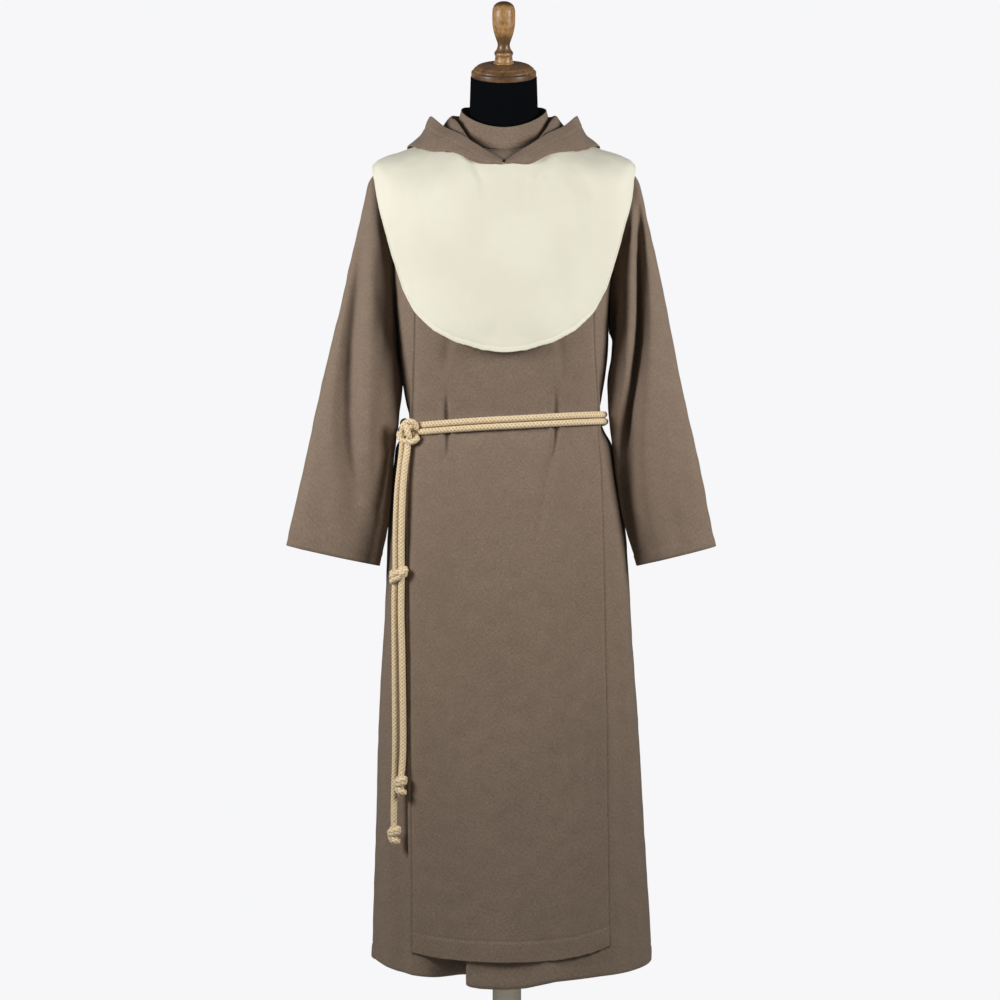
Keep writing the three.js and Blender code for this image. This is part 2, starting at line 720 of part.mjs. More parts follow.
// Where along the tunic's level rings a height is.
function ringIndexAt(z) {
  let low = 7;
  let high = TUNIC_RINGS.length - 2;
  for (let k = 0; k < 24; k += 1) {
    const t = (low + high) / 2;
    if (ringAt(TUNIC_RINGS, t).sideZ > z) low = t;
    else high = t;
  }
  return (low + high) / 2;
}

// The tails hang from the knot down the skirt, in points chosen along their way.
const TAIL_LONG = [
  [-179, -79, 1082],
  [-180, -82, 1066],
  [-182.8, -86, 1040],
  [-187, -92, 1000],
  [-189, -97, 960],
  [-190, -100.5, 920],
  [-190, -104, 885],
  [-190, -107, 852],
  [-191.5, -110, 820],
  [-191.5, -113, 780],
  [-191, -117, 730],
  [-190.5, -121, 680],
  [-190, -125, 630],
  [-189.5, -129, 580],
  [-189.7, -132.5, 535],
  [-191, -135.5, 490],
  [-191.5, -139, 455],
  [-191.5, -141, 431],
];
const TAIL_SHORT = [
  [-170, -89, 1082],
  [-170.8, -92.5, 1066],
  [-174.3, -97, 1040],
  [-177.8, -102, 1000],
  [-179.3, -106.5, 960],
  [-180, -109.5, 920],
  [-180, -112, 885],
  [-179.5, -114.5, 852],
  [-180, -117, 820],
  [-180, -120, 780],
  [-178.5, -124, 730],
  [-177.5, -128, 680],
  [-176.5, -132, 630],
  [-176, -136, 580],
  [-176.5, -140.5, 545],
  [-178.5, -145, 517],
];

const routeOf = (points) => new THREE.CatmullRomCurve3(points.map((p) => new THREE.Vector3(...p)));

// A knot as one closed form with a waist between its lobes.
function knotForm({ x, y, z, width, depth, height, lobes = 1, grow = 0 }) {
  const profile = [];
  const count = 12;
  for (let k = 0; k <= count; k += 1) {
    const share = k / count;
    const bulge = Math.abs(Math.sin(PI * share * lobes)) ** 0.6;
    const round = Math.sin(PI * share) ** 0.5;
    const radius = k === 0 || k === count ? 0 : mix(0.72 * round, round, bulge);
    profile.push(new THREE.Vector2(radius, share - 0.5));
  }
  const geometry = new THREE.LatheGeometry(profile, 14);
  geometry.rotateX(PI / 2);
  geometry.scale(width / 2 + grow, depth / 2 + grow, height + 2 * grow);
  geometry.translate(x, y, z);
  return geometry;
}

const MID_KNOT = { x: -184, y: -121.5, z: 852, width: 34, depth: 33, height: 34 };
const SHORT_KNOT = { x: -180, y: -151, z: 497, width: 25, depth: 20, height: 38, lobes: 2 };
const LONG_KNOT = { x: -191, y: -144, z: 413, width: 25, depth: 22, height: 33, lobes: 2 };

const rope = () => cloth(STRAW);
const grown = (knot) => knotForm({ ...knot, grow: SEAM_GAP });
const longRoute = ropeAlong(routeOf(TAIL_LONG), 40);
const shortRoute = ropeAlong(routeOf(TAIL_SHORT), 36);

add('belt_upper', cut(ropeAlong(beltRoute(0), 60), grown(KNOT)), rope());
add('belt_lower', cut(ropeAlong(beltRoute(1), 60), grown(KNOT)), rope());
add('belt_knot', knotForm(KNOT), rope());
add('tail_long', cut(longRoute, grown(KNOT), grown(LONG_KNOT)), rope());
add('tail_short', cut(shortRoute, grown(KNOT), grown(SHORT_KNOT)), rope());
const channels = [routeOf(TAIL_LONG), routeOf(TAIL_SHORT)].map((route) => (
  ropeAlong(route, 40, ROPE / 2 + SEAM_GAP)
));
add('knot_middle', cut(knotForm(MID_KNOT), ...channels), rope());
add('knot_short_end', knotForm(SHORT_KNOT), rope());
add('knot_long_end', knotForm(LONG_KNOT), rope());

// ---------------------------------------------------------------- dress form and stand

const FORM_COLUMNS = 28;
const jersey = new THREE.MeshStandardMaterial({ color: 0x0b0e13, roughness: 0.9 });
const wood = new THREE.MeshStandardMaterial({ color: 0x8a6038, roughness: 0.35 });
const steel = new THREE.MeshStandardMaterial({ color: 0x8f887b, roughness: 0.4, metalness: 0.6 });

add('form_torso', filled(FORM_RINGS.map((row) => {
  const points = [];
  for (let j = 0; j < FORM_COLUMNS; j += 1) {
    points.push(onRing(row, (2 * PI * j) / FORM_COLUMNS));
  }
  return points;
})), jersey);

// A turned piece: radius and height along its own axis.
function turned(profile, segments) {
  const geometry = new THREE.LatheGeometry(profile.map(([r, h]) => new THREE.Vector2(r, h)), segments);
  geometry.rotateX(PI / 2);
  return geometry;
}

const PLATE = [
  [0, 0], [54.5, 0], [56.3, 1.5], [56.3, 9], [55, 10.5], [53, 11.5], [52.5, 13.5], [50, 16], [44, 20],
  [40, 21.3], [36, 22.2], [30, 22.8], [0, 23],
];
const FINIAL = [
  [0, 0], [17.2, 0], [17.6, 1.5], [15.9, 4], [15.2, 7], [15.1, 11.5], [14.4, 13.4], [16.1, 15.6], [16.4, 18],
  [15.6, 20.5], [12.9, 23.4], [11.3, 27], [10.4, 32], [10.9, 36], [12.4, 40], [15.3, 48], [17.8, 57],
  [19.3, 66], [19.7, 75], [19.8, 84], [19.4, 93], [16.9, 100], [12, 104.2], [6.5, 106.3], [0, 106.8],
];

const head = new THREE.Group();
head.position.set(NECK_X, -34, 1714);
head.rotation.x = THREE.MathUtils.degToRad(NECK_TILT);
habit.add(head);

const plate = add('form_neck_plate', turned(PLATE, 32), wood);
plate.position.z = SEAM_GAP;
const finial = add('form_finial', turned(FINIAL, 24), wood);
finial.position.z = SEAM_GAP + PLATE.at(-1)[1] + SEAM_GAP;
head.add(plate, finial);

const POLE_TOP = FORM_BOTTOM - SEAM_GAP;
const pole = turned([
  [0, BASE_HEIGHT + SEAM_GAP], [POLE_RADIUS, BASE_HEIGHT + SEAM_GAP], [POLE_RADIUS, POLE_TOP], [0, POLE_TOP],
], 24);
add('form_pole', pole, steel);

const BASE = [
  [0, 0], [BASE_RADIUS, 0], [BASE_RADIUS, 6], [BASE_RADIUS - 3, 9], [BASE_RADIUS - 12, 11.5], [60, 16],
  [44, 18.5], [40, BASE_HEIGHT], [0, BASE_HEIGHT],
];
add('form_base', turned(BASE, 40), steel);

export default habit;
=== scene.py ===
import math

import bpy
import numpy as np
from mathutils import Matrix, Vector
from mathutils.bvhtree import BVHTree


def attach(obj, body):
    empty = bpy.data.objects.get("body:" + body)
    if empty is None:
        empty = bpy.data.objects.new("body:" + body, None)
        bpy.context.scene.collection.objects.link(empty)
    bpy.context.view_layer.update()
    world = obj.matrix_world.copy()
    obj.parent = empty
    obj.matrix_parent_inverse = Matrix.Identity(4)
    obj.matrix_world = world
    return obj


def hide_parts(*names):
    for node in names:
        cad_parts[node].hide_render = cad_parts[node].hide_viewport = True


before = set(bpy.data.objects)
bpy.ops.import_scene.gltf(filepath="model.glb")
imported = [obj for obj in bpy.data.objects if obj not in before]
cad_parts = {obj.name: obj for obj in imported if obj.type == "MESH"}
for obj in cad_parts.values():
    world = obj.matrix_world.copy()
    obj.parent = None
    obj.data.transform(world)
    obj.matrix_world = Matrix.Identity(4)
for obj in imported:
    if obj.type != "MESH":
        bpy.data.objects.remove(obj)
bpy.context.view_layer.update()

# ---- Studio
# A pale room with a soft lamp well round at either side and a small round floor. The camera
# stands level with the middle of the habit, 4.2 m in front of it.

scene = bpy.context.scene
scene.view_settings.view_transform = "Standard"

camera = bpy.data.objects.new("camera", bpy.data.cameras.new("camera"))
camera.location = (-0.012, -4.2, 0.98)
camera.rotation_euler = (math.pi / 2, 0, 0)
camera.data.lens = 86.4
camera.data.sensor_width = 36
scene.collection.objects.link(camera)
scene.camera = camera

LAMP_COLOUR = (1, 0.99, 0.975)
LAMP_SIZE = 0.8
LIT_POINT = Vector((0, 0, 1.4))
for name, place, watts in (("left", (-1.49, -1.0, 1.6), 31), ("right", (1.49, -1.0, 1.6), 29)):
    light = bpy.data.lights.new(name, "AREA")
    light.shape = "DISK"
    light.size = LAMP_SIZE
    light.energy = watts
    light.color = LAMP_COLOUR
    lamp = bpy.data.objects.new(name, light)
    lamp.location = place
    lamp.rotation_euler = (LIT_POINT - Vector(place)).to_track_quat("-Z", "Y").to_euler()
    scene.collection.objects.link(lamp)

room = bpy.data.worlds.new("room")
scene.world = room
room.use_nodes = True
links = room.node_tree.links
nodes = room.node_tree.nodes
seen = nodes.new("ShaderNodeBackground")
seen.inputs["Color"].default_value = (0.93, 0.93, 0.945, 1)
shed = nodes["Background"]
shed.inputs["Color"].default_value = (1, 0.985, 0.965, 1)
shed.inputs["Strength"].default_value = 0.1
either = nodes.new("ShaderNodeMixShader")
links.new(nodes.new("ShaderNodeLightPath").outputs["Is Camera Ray"], either.inputs[0])
links.new(shed.outputs[0], either.inputs[1])
links.new(seen.outputs[0], either.inputs[2])
links.new(either.outputs[0], nodes["World Output"].inputs["Surface"])

# ---- Finishes and turned pieces: the stand's base and pole
# A flat round steel foot with a raised hub, and a steel tube that stands in it, both with a
# satin grey-beige paint that is finely pimpled and a little cloudy.


class Wire:
    """A socket of a finish. Arithmetic on it adds the finish's Math nodes."""

    def __init__(self, finish, socket):
        self.finish = finish
        self.socket = socket

    def math(self, operation, *values):
        return self.finish.node("Math", {"operation": operation}, dict(enumerate(values)))

    def __add__(self, other):
        return self.math("ADD", self, other)

    def __sub__(self, other):
        return self.math("SUBTRACT", self, other)

    def __mul__(self, other):
        return self.math("MULTIPLY", self, other)

    def sine(self):
        return self.math("SINE", self)

    def between(self, low, high):
        settings = {"interpolation_type": "SMOOTHSTEP"}
        return self.finish.node("MapRange", settings, {"Value": self, "From Min": low, "From Max": high})


class Finish:
    """A material, with its patterns worked out from the piece's own coordinates."""

    def __init__(self, name, **constants):
        self.material = bpy.data.materials.new(name)
        self.material.use_nodes = True
        self.tree = self.material.node_tree
        self.shader = self.tree.nodes["Principled BSDF"]
        for socket, value in constants.items():
            self.shader.inputs[socket.replace("_", " ")].default_value = value

    def node(self, kind, settings, inputs, output=0):
        made = self.tree.nodes.new("ShaderNode" + kind)
        for key, value in settings.items():
            setattr(made, key, value)
        for key, value in inputs.items():
            if isinstance(value, Wire):
                self.tree.links.new(value.socket, made.inputs[key])
            else:
                made.inputs[key].default_value = value
        return Wire(self, made.outputs[output])

    def place(self):
        return self.node("TexCoord", {}, {}, "Object")

    def noise(self, at, scale, detail=2.0, roughness=0.5):
        inputs = {"Vector": at, "Scale": scale, "Detail": detail, "Roughness": roughness}
        return self.node("TexNoise", {}, inputs)

    def streaks(self, at, scales, detail, roughness=0.5):
        """Noise with a scale of its own along each axis."""
        stretched = self.node("VectorMath", {"operation": "MULTIPLY"}, {0: at, 1: scales})
        return self.noise(stretched, 1, detail, roughness)

    def weave(self, cut, warp_pitch, weft_pitch):
        """A plain weave over the cut cloth, 0 to 1, with its threads so many metres apart."""
        warp, weft = (
            (self.node("SeparateXYZ", {}, {0: cut}, axis) * (2 * math.pi / pitch)).sine()
            for axis, pitch in enumerate((warp_pitch, weft_pitch)))
        return warp * weft * 0.5 + 0.5

    def cut(self):
        return self.node("UVMap", {"uv_map": "cut"}, {})

    def mix(self, share, first, second):
        return self.node("Mix", {"data_type": "RGBA"}, {0: share, 6: first, 7: second}, 2)

    def shade(self, colour, factor):
        return self.node("VectorMath", {"operation": "SCALE"}, {0: colour, 3: factor})

    def show(self, socket, value):
        self.tree.links.new(value.socket, self.shader.inputs[socket])

    def bump(self, height, depth, strength=1.0):
        inputs = {"Height": height, "Distance": depth, "Strength": strength}
        self.show("Normal", self.node("Bump", {}, inputs))


def linear(red, green, blue):
    """The linear colour of the three values from 0 to 255 that a chart gives."""
    def one(value):
        share = value / 255
        return share / 12.92 if share <= 0.04045 else ((share + 0.055) / 1.055) ** 2.4
    return (one(red), one(green), one(blue), 1)


def shown(name, points, faces, finish):
    mesh = bpy.data.meshes.new(name)
    mesh.from_pydata(points, [], faces)
    mesh.materials.append(finish.material)
    piece = bpy.data.objects.new(name, mesh)
    scene.collection.objects.link(piece)
    return piece


def part(name, points, faces, finish, node, slot, uv=None):
    """A piece of the object from its points and faces, standing for a CAD node."""
    piece = shown(name, points.tolist(), faces, finish)
    piece.data.shade_smooth()
    if uv is not None:
        piece.data.uv_layers.new(name="cut").uv.foreach_set("vector", uv.astype(np.float32).ravel())
    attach(piece, "root")
    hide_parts(node)
    return piece


def round_turn(count):
    return np.arange(count) * 2 * math.pi / count


def quads(*corners):
    """Faces from the numbers of their four corners, each of which is an array."""
    return np.stack(corners, 2).reshape(-1, 4).tolist()


def ring_numbers(rows, columns, start=0):
    """The numbers of the points of some rings, and for each the number of the next one round."""
    at = start + np.arange(rows * columns).reshape(rows, columns)
    return at, np.roll(at, -1, 1)


def turned(profile, steps, rounding, arc=4):
    """Points and faces of a lathe-turned form: radius and height in mm, corners rounded."""
    line = [np.array(profile[0], float)]
    for before, corner, after in zip(profile, profile[1:], profile[2:]):
        before, corner, after = (np.array(p, float) for p in (before, corner, after))
        back, on = before - corner, after - corner
        reach = min(rounding, np.linalg.norm(back) * 0.4, np.linalg.norm(on) * 0.4)
        first = corner + back / np.linalg.norm(back) * reach
        last = corner + on / np.linalg.norm(on) * reach
        for k in range(arc + 1):
            s = k / arc
            line.append((1 - s) ** 2 * first + 2 * s * (1 - s) * corner + s * s * last)
    line.append(np.array(profile[-1], float))
    line = np.array(line) / 1000
    turn = round_turn(steps)
    radius, height = line[1:-1, :1], line[1:-1, 1:]
    rings = np.stack([radius * np.cos(turn), radius * np.sin(turn), height + 0 * turn], 2)
    points = np.vstack([rings.reshape(-1, 3), [[0, 0, line[0, 1]], [0, 0, line[-1, 1]]]])
    at, after = ring_numbers(len(rings), steps)
    faces = quads(at[:-1], after[:-1], after[1:], at[1:])
    bottom, top = len(points) - 2, len(points) - 1
    faces += [[bottom, b, a] for a, b in zip(at[0], after[0])]
    faces += [[top, a, b] for a, b in zip(at[-1], after[-1])]
    return points, faces


paint = Finish("satin_paint", Metallic=0.15, Roughness=0.4, Specular_IOR_Level=0.5)
grain = paint.noise(paint.place(), 900, 1)
smear = paint.streaks(paint.place(), (14, 14, 2.2), 4, 0.6)
paint.show("Base Color", paint.mix(smear, linear(222, 213, 197), linear(240, 232, 216)))
paint.show("Roughness", smear * 0.2 + 0.3)
paint.bump(grain, 0.0002, 0.35)

BASE = [
    (0, 0), (200, 0), (200, 6), (197, 9), (188, 11.5), (60, 16), (44, 18.5), (40, 24), (0, 24),
]
POLE = [(0, 24.3), (25, 24.3), (25, 879.7), (0, 879.7)]
part("stand_base", *turned(BASE, 128, 1.5), paint, "form_base", "steel")
part("stand_pole", *turned(POLE, 64, 1.0), paint, "form_pole", "steel")

# ---- Dress form: the torso
# A padded shell without limbs, from the shoulders and the neck down to the hips, covered
# tightly in black stretch jersey. The habit hangs on its shoulders and only the neck shows.

# the neck's cut top: its place in mm and its tilt in degrees
NECK_X = -5.5
NECK_Y = -34
NECK_TOP = 1714
NECK_TILT = 21


def leaning(z, y, side, depth, tilt):
    """A ring of the neck, tilted forwards by so many degrees."""
    rise = depth * math.sin(math.radians(tilt))
    reach = depth * math.cos(math.radians(tilt))
    return [side, z, reach, z - rise, reach, z + rise, 2, NECK_X, y]


def level(z, side, front, back, square, middle):
    return [side, z, front, z, back, z, square, middle, 0]


def tilted(side, side_z, front, front_z, back, back_z, square, middle):
    return [side, side_z, front, front_z, back, back_z, square, middle, 0]


FORM_RINGS = [
    #       z     y   side depth tilt
    leaning(NECK_TOP, NECK_Y, 57.5, 56, NECK_TILT),
    leaning(1690, -25, 58.5, 57.5, 19),
    leaning(1655, -13, 60, 59, 17),
    #      side sideZ front frontZ back backZ square middle
    tilted(66, 1618, 70, 1590, 57, 1642, 2.0, NECK_X),
    tilted(84, 1605, 80, 1570, 66, 1626, 2.0, NECK_X),
    tilted(119, 1588, 94, 1544, 76, 1601, 2.1, NECK_X),
    tilted(156, 1574, 104, 1506, 88, 1564, 2.2, NECK_X),
    tilted(181, 1562, 112, 1459, 99, 1516, 2.35, NECK_X),
    tilted(187, 1541, 115, 1422, 102, 1471, 2.4, -5),
    tilted(178, 1440, 116, 1380, 103, 1405, 2.4, -5),
    level(1320, 168, 112, 100, 2.4, -4),
    level(1215, 146, 98, 88, 2.3, -3),
    level(1135, 134, 90, 82, 2.2, -3),
    level(1040, 152, 104, 98, 2.3, -1),
    level(950, 165, 112, 110, 2.4, 0),
    level(880, 162, 110, 108, 2.4, 0),
]


def between_rows(table, t):
    """The table's values at places t along its rows, on curves with no overshoot."""
    values = np.array(table, float)
    t = np.clip(np.asarray(t, float), 0, len(values) - 1)
    step = np.diff(values, axis=0)
    same = step[:-1] * step[1:] > 0
    inner = np.where(same, 2 * step[:-1] * step[1:] / np.where(same, step[:-1] + step[1:], 1), 0)
    slope = np.vstack([step[:1], inner, step[-1:]])
    i = np.minimum(t.astype(int), len(values) - 2)
    s = (t - i)[..., None]
    return (
        values[i] * (1 + 2 * s) * (1 - s) ** 2 + values[i + 1] * s * s * (3 - 2 * s)
        + slope[i] * s * (1 - s) ** 2 - slope[i + 1] * s * s * (1 - s)
    )


def powered(value, power):
    return np.sign(value) * np.abs(value) ** power


def eased(share):
    """From 0 to 1 with a level start and end."""
    return share * share * (3 - 2 * share)


def run_along(points, axis=0):
    """How far each point is from the first one, along its row or column of points."""
    steps = np.linalg.norm(np.diff(points, axis=axis), axis=-1)
    return np.concatenate([np.zeros_like(steps.take([0], axis)), np.cumsum(steps, axis)], axis)


def girth(rings, t, angle):
    """Points of a form of rings, in metres; the angle is 0 at +X and -pi/2 in front.

    A ring has its side, front and back in mm, each with its height, then its squareness,
    its middle's X and its Y."""
    t, angle = np.broadcast_arrays(np.asarray(t, float), np.asarray(angle, float))
    side, side_z, front, front_z, back, back_z, square, middle, y = np.moveaxis(
        between_rows(rings, t), -1, 0)
    c, s = np.cos(angle), np.sin(angle)
    depth = np.where(s < 0, front, back)
    x = middle + side * powered(c, 2 / square)
    y = y + depth * powered(s, 2 / square)
    z = side_z + (back_z - front_z) / 2 * s + ((back_z + front_z) / 2 - side_z) * s * s
    return np.stack([x, y, z], -1) / 1000


def evenly(rings, count):
    """Places along the rings that are about equally far apart down the form."""
    fine = np.linspace(0, len(rings) - 1, 600)
    run = sum(run_along(girth(rings, fine, angle)) for angle in (-math.pi / 2, -0.6, 0.6, math.pi / 2))
    return np.interp(np.linspace(0, run[-1], count), run, fine)


def closed_form(grid):
    """Points and faces of a solid from closed rings, with a fan over each end."""
    rows, columns = grid.shape[:2]
    points = np.vstack([grid.reshape(-1, 3), grid[0].mean(0), grid[-1].mean(0)])
    at, after = ring_numbers(rows, columns)
    faces = quads(at[:-1], at[1:], after[1:], after[:-1])
    top, bottom = rows * columns, rows * columns + 1
    faces += [[top, a, b] for a, b in zip(at[0], after[0])]
    faces += [[bottom, b, a] for a, b in zip(at[-1], after[-1])]
    return points, faces


jersey = Finish("black_jersey", Roughness=0.85, Specular_IOR_Level=0.06)
wale = (jersey.node("SeparateXYZ", {}, {0: jersey.place()}, 0) * 5200).sine()
fluff = jersey.noise(jersey.place(), 260, 3)
jersey.show("Base Color", jersey.mix(fluff, linear(1, 3, 6), linear(5, 8, 12)))
jersey.bump(wale * 0.5 + fluff, 0.0003, 0.5)

rows = evenly(FORM_RINGS, 130)
torso = girth(FORM_RINGS, rows[:, None], round_turn(96))
part("torso_shell", *closed_form(torso), jersey, "form_torso", "jersey")

# ---- Neck plate and finial
# A turned, moulded disc and a turned handle screwed into it, in stained and varnished wood.
# Both lean forwards with the neck.

PLATE = [
    (0, 0), (54.5, 0), (56.3, 1.5), (56.3, 9), (55, 10.5), (53, 11.5), (52.5, 13.5), (50, 16),
    (47.5, 17.2), (46.8, 18.6), (44, 20), (40, 21.3), (36, 22.2), (35, 21.9), (34, 22.5), (30, 22.8),
    (0, 23),
]
FINIAL = [
    (0, 0), (17.2, 0), (17.6, 1.5), (15.9, 4), (15.2, 7), (15.1, 11.5), (14.4, 13.4), (16.1, 15.6),
    (16.4, 18), (15.6, 20.5), (12.9, 23.4), (11.3, 27), (10.4, 32), (10.9, 36), (12.4, 40),
    (15.3, 48), (17.8, 57), (19.3, 66), (19.7, 75), (19.8, 84), (19.4, 93), (16.9, 100),
    (12, 104.2), (6.5, 106.3), (0, 106.8),
]


def varnished(name, pale, dark, darker_bands):
    """Turned wood: fine streaks along the grain, and darker bands at given heights.

    Each band's height is in metres, with how far it reaches and how dark it is."""
    wood = Finish(name, Roughness=0.45, Coat_Weight=0.45, Coat_Roughness=0.3, Specular_IOR_Level=0.35)
    place = wood.place()
    streaks = wood.streaks(place, (420, 420, 60), 4, 0.65)
    patches = wood.streaks(place, (120, 120, 90), 3, 0.6)
    wear = (streaks * 0.55 + patches * 0.45).between(0.36, 0.62)
    colour = wood.mix(wear, dark, pale)
    height = wood.node("SeparateXYZ", {}, {0: place}, 2)
    # each band darkens the colour round its height; on the plate this is painted shade
    for middle, reach, amount in darker_bands:
        near = (height - middle) * (1 / reach)
        darker_band = (near * near * -1 + 1).between(0, 1) * amount
        colour = wood.mix(darker_band, colour, linear(52, 31, 17))
    wood.show("Base Color", colour)
    wood.bump(streaks, 0.0001, 0.12)
    return wood


def head_tilt(points, lift):
    """Points of a turned piece placed on the leaning neck, so many mm above its cut."""
    turn = math.radians(NECK_TILT)
    x, y, z = (points + [0, 0, lift / 1000]).T
    return np.stack([
        x + NECK_X / 1000,
        y * math.cos(turn) - z * math.sin(turn) + NECK_Y / 1000,
        y * math.sin(turn) + z * math.cos(turn) + NECK_TOP / 1000,
    ], 1)


# the plate's band is painted shade along the lower edge of its rim
walnut = varnished("walnut", linear(140, 105, 70), linear(100, 69, 43), [(1.704, 0.01, 0.65)])
# the handle's bands darken its cap, its narrow neck and two rings near its foot
honey = varnished("honey_wood", linear(178, 137, 86), linear(128, 91, 50), [
    (1.836, 0.012, 0.85), (1.766, 0.018, 0.7), (1.752, 0.004, 0.6), (1.743, 0.0025, 0.5)])
points, faces = turned(PLATE, 128, 0.7)
part("neck_plate", head_tilt(points, 0.3), faces, walnut, "form_neck_plate", "wood")
points, faces = turned(FINIAL, 96, 1.4)
part("finial_handle", head_tilt(points, 23.6), faces, honey, "form_finial", "wood")

# ---- Tunic
# A long wide robe of matt brown wool cloth, cut as a front and a back that are sewn together
# down the sides. The front has one deep knife pleat, which opens towards the hem.

WOOL = 0.0018
TUNIC_HEM = 0.022
SEAM_HALF_GAP = 0.00015   # each of two sewn pieces stops this far short of their seam
TUNIC_RINGS = [
    #      side sideZ front frontZ back backZ square middle
    tilted(80, 1616, 84, 1581, 70, 1634, 2.0, NECK_X),
    tilted(125, 1597, 101, 1556, 84, 1614, 2.1, NECK_X),
    tilted(168, 1583, 113, 1517, 98, 1576, 2.2, NECK_X),
    tilted(198, 1572, 121, 1468, 108, 1527, 2.35, -5),
    tilted(203, 1556, 123, 1430, 110, 1485, 2.4, -5),
    tilted(198, 1480, 124.5, 1380, 112, 1420, 2.4, -5.5),
    tilted(189, 1330, 124, 1300, 112, 1310, 2.35, -7.5),
    #     z    side  front  back  square middle
    level(1232, 183, 121, 109, 2.3, -6),
    level(1170, 174, 113, 103, 2.25, -6.5),
    level(1147, 170, 110, 100.5, 2.25, -6.5),
    level(1124, 165.5, 107, 98, 2.25, -5.5),
    level(1102, 172, 110, 101, 2.2, -3),
    level(1072, 189, 121, 110, 2.25, -4.5),
    level(1037, 193.5, 128, 116, 2.3, -4),
    level(1003, 198, 134, 121, 2.3, -3.5),
    level(920, 206.5, 144, 130, 2.3, -0.8),
    level(752, 215, 158, 144, 2.3, 2),
    level(595, 225, 170, 157, 2.3, 3),
    level(437, 232, 181, 169, 2.3, 4.6),
    level(280, 239, 192, 181, 2.3, 6.4),
    tilted(243, 183, 199, 166, 188, 181, 2.3, 7.5),
]
HEM_LINE = np.array([
    # X, height of the hem in front
    (-236, 186), (-226, 190), (-190, 182), (-160, 179.5), (-147, 178), (-133, 177), (-118, 172),
    (-104, 172), (-89, 171), (-74, 169.5), (-45, 165), (-5, 164), (30, 166), (80, 176),
    (157, 180), (210, 180.5), (250, 183),
], float)
LAST = len(TUNIC_RINGS) - 1


def angle_at(t, x, half):
    """The angle at which a ring of the tunic reaches an X in mm, in front (-1) or behind (1)."""
    row = between_rows(TUNIC_RINGS, t)
    share = np.clip((x - row[..., 7]) / row[..., 0], -1, 1)
    return half * np.arccos(np.clip(powered(share, row[..., 6] / 2), -1, 1))


def facing(grid, around=False):
    """The outward direction at each point of a cloth; rows run down, columns to the left."""
    down = np.gradient(grid, axis=0)
    if around:
        across = np.roll(grid, -1, 1) - np.roll(grid, 1, 1)
    else:
        across = np.gradient(grid, axis=1)
    normal = np.cross(down, across)
    return normal / np.maximum(np.linalg.norm(normal, axis=-1, keepdims=True), 1e-12)


def raised(grid, lift, around=False):
    return grid + facing(grid, around) * lift[..., None]


def folds(grid, table):
    """How far out the folds of a table lift the cloth, in metres.

    Each is a height in mm, negative for a trough, a half width in mm and a line of points:
    X and Z in mm and how much of the height is there."""
    x, z = grid[..., 0] * 1000, grid[..., 2] * 1000
    lift = np.zeros(x.shape)
    for height, width, line in table:
        line = np.array(line, float)
        nearest = np.full(x.shape, 1e9)
        share = np.zeros(x.shape)
        for (x0, z0, s0), (x1, z1, s1) in zip(line, line[1:]):
            dx, dz = x1 - x0, z1 - z0
            k = np.clip(((x - x0) * dx + (z - z0) * dz) / (dx * dx + dz * dz), 0, 1)
            off = np.hypot(x - x0 - k * dx, z - z0 - k * dz)
            closer = off < nearest
            nearest = np.where(closer, off, nearest)
            share = np.where(closer, s0 + (s1 - s0) * k, share)
        lift += height * share * np.exp(-((nearest / width) ** 2))
    return lift / 1000


def unevenness(grid, size, seed, stretch=(1, 1, 1)):
    """A smooth random lift about 1 high, with waves of about that size in mm."""
    count = 28
    draw = np.random.default_rng(seed)
    turn = draw.normal(size=(count, 3))
    turn /= np.linalg.norm(turn, axis=1, keepdims=True)
    wave = 2 * math.pi / (size / 1000) * draw.uniform(0.6, 1.5, count)
    phase = draw.uniform(0, 2 * math.pi, count)
    total = np.zeros(grid.shape[:2])
    for direction, number, start in zip(turn, wave, phase):
        total += np.cos(grid @ (direction * stretch) * number + start)
    return total / math.sqrt(count / 2)


def uneven_lie(grid, seed, size, height, fine_size, fine_height, stretch=(1, 1, 1)):
    """The way that hung cloth never lies flat: long waves, and small ones on them."""
    return (unevenness(grid, size, seed, stretch) * height
            + unevenness(grid, fine_size, seed + 1) * fine_height)


def wrapped(grid):
    """The grid of a tube with its first column once more at the end."""
    return np.hstack([grid, grid[:, :1]])


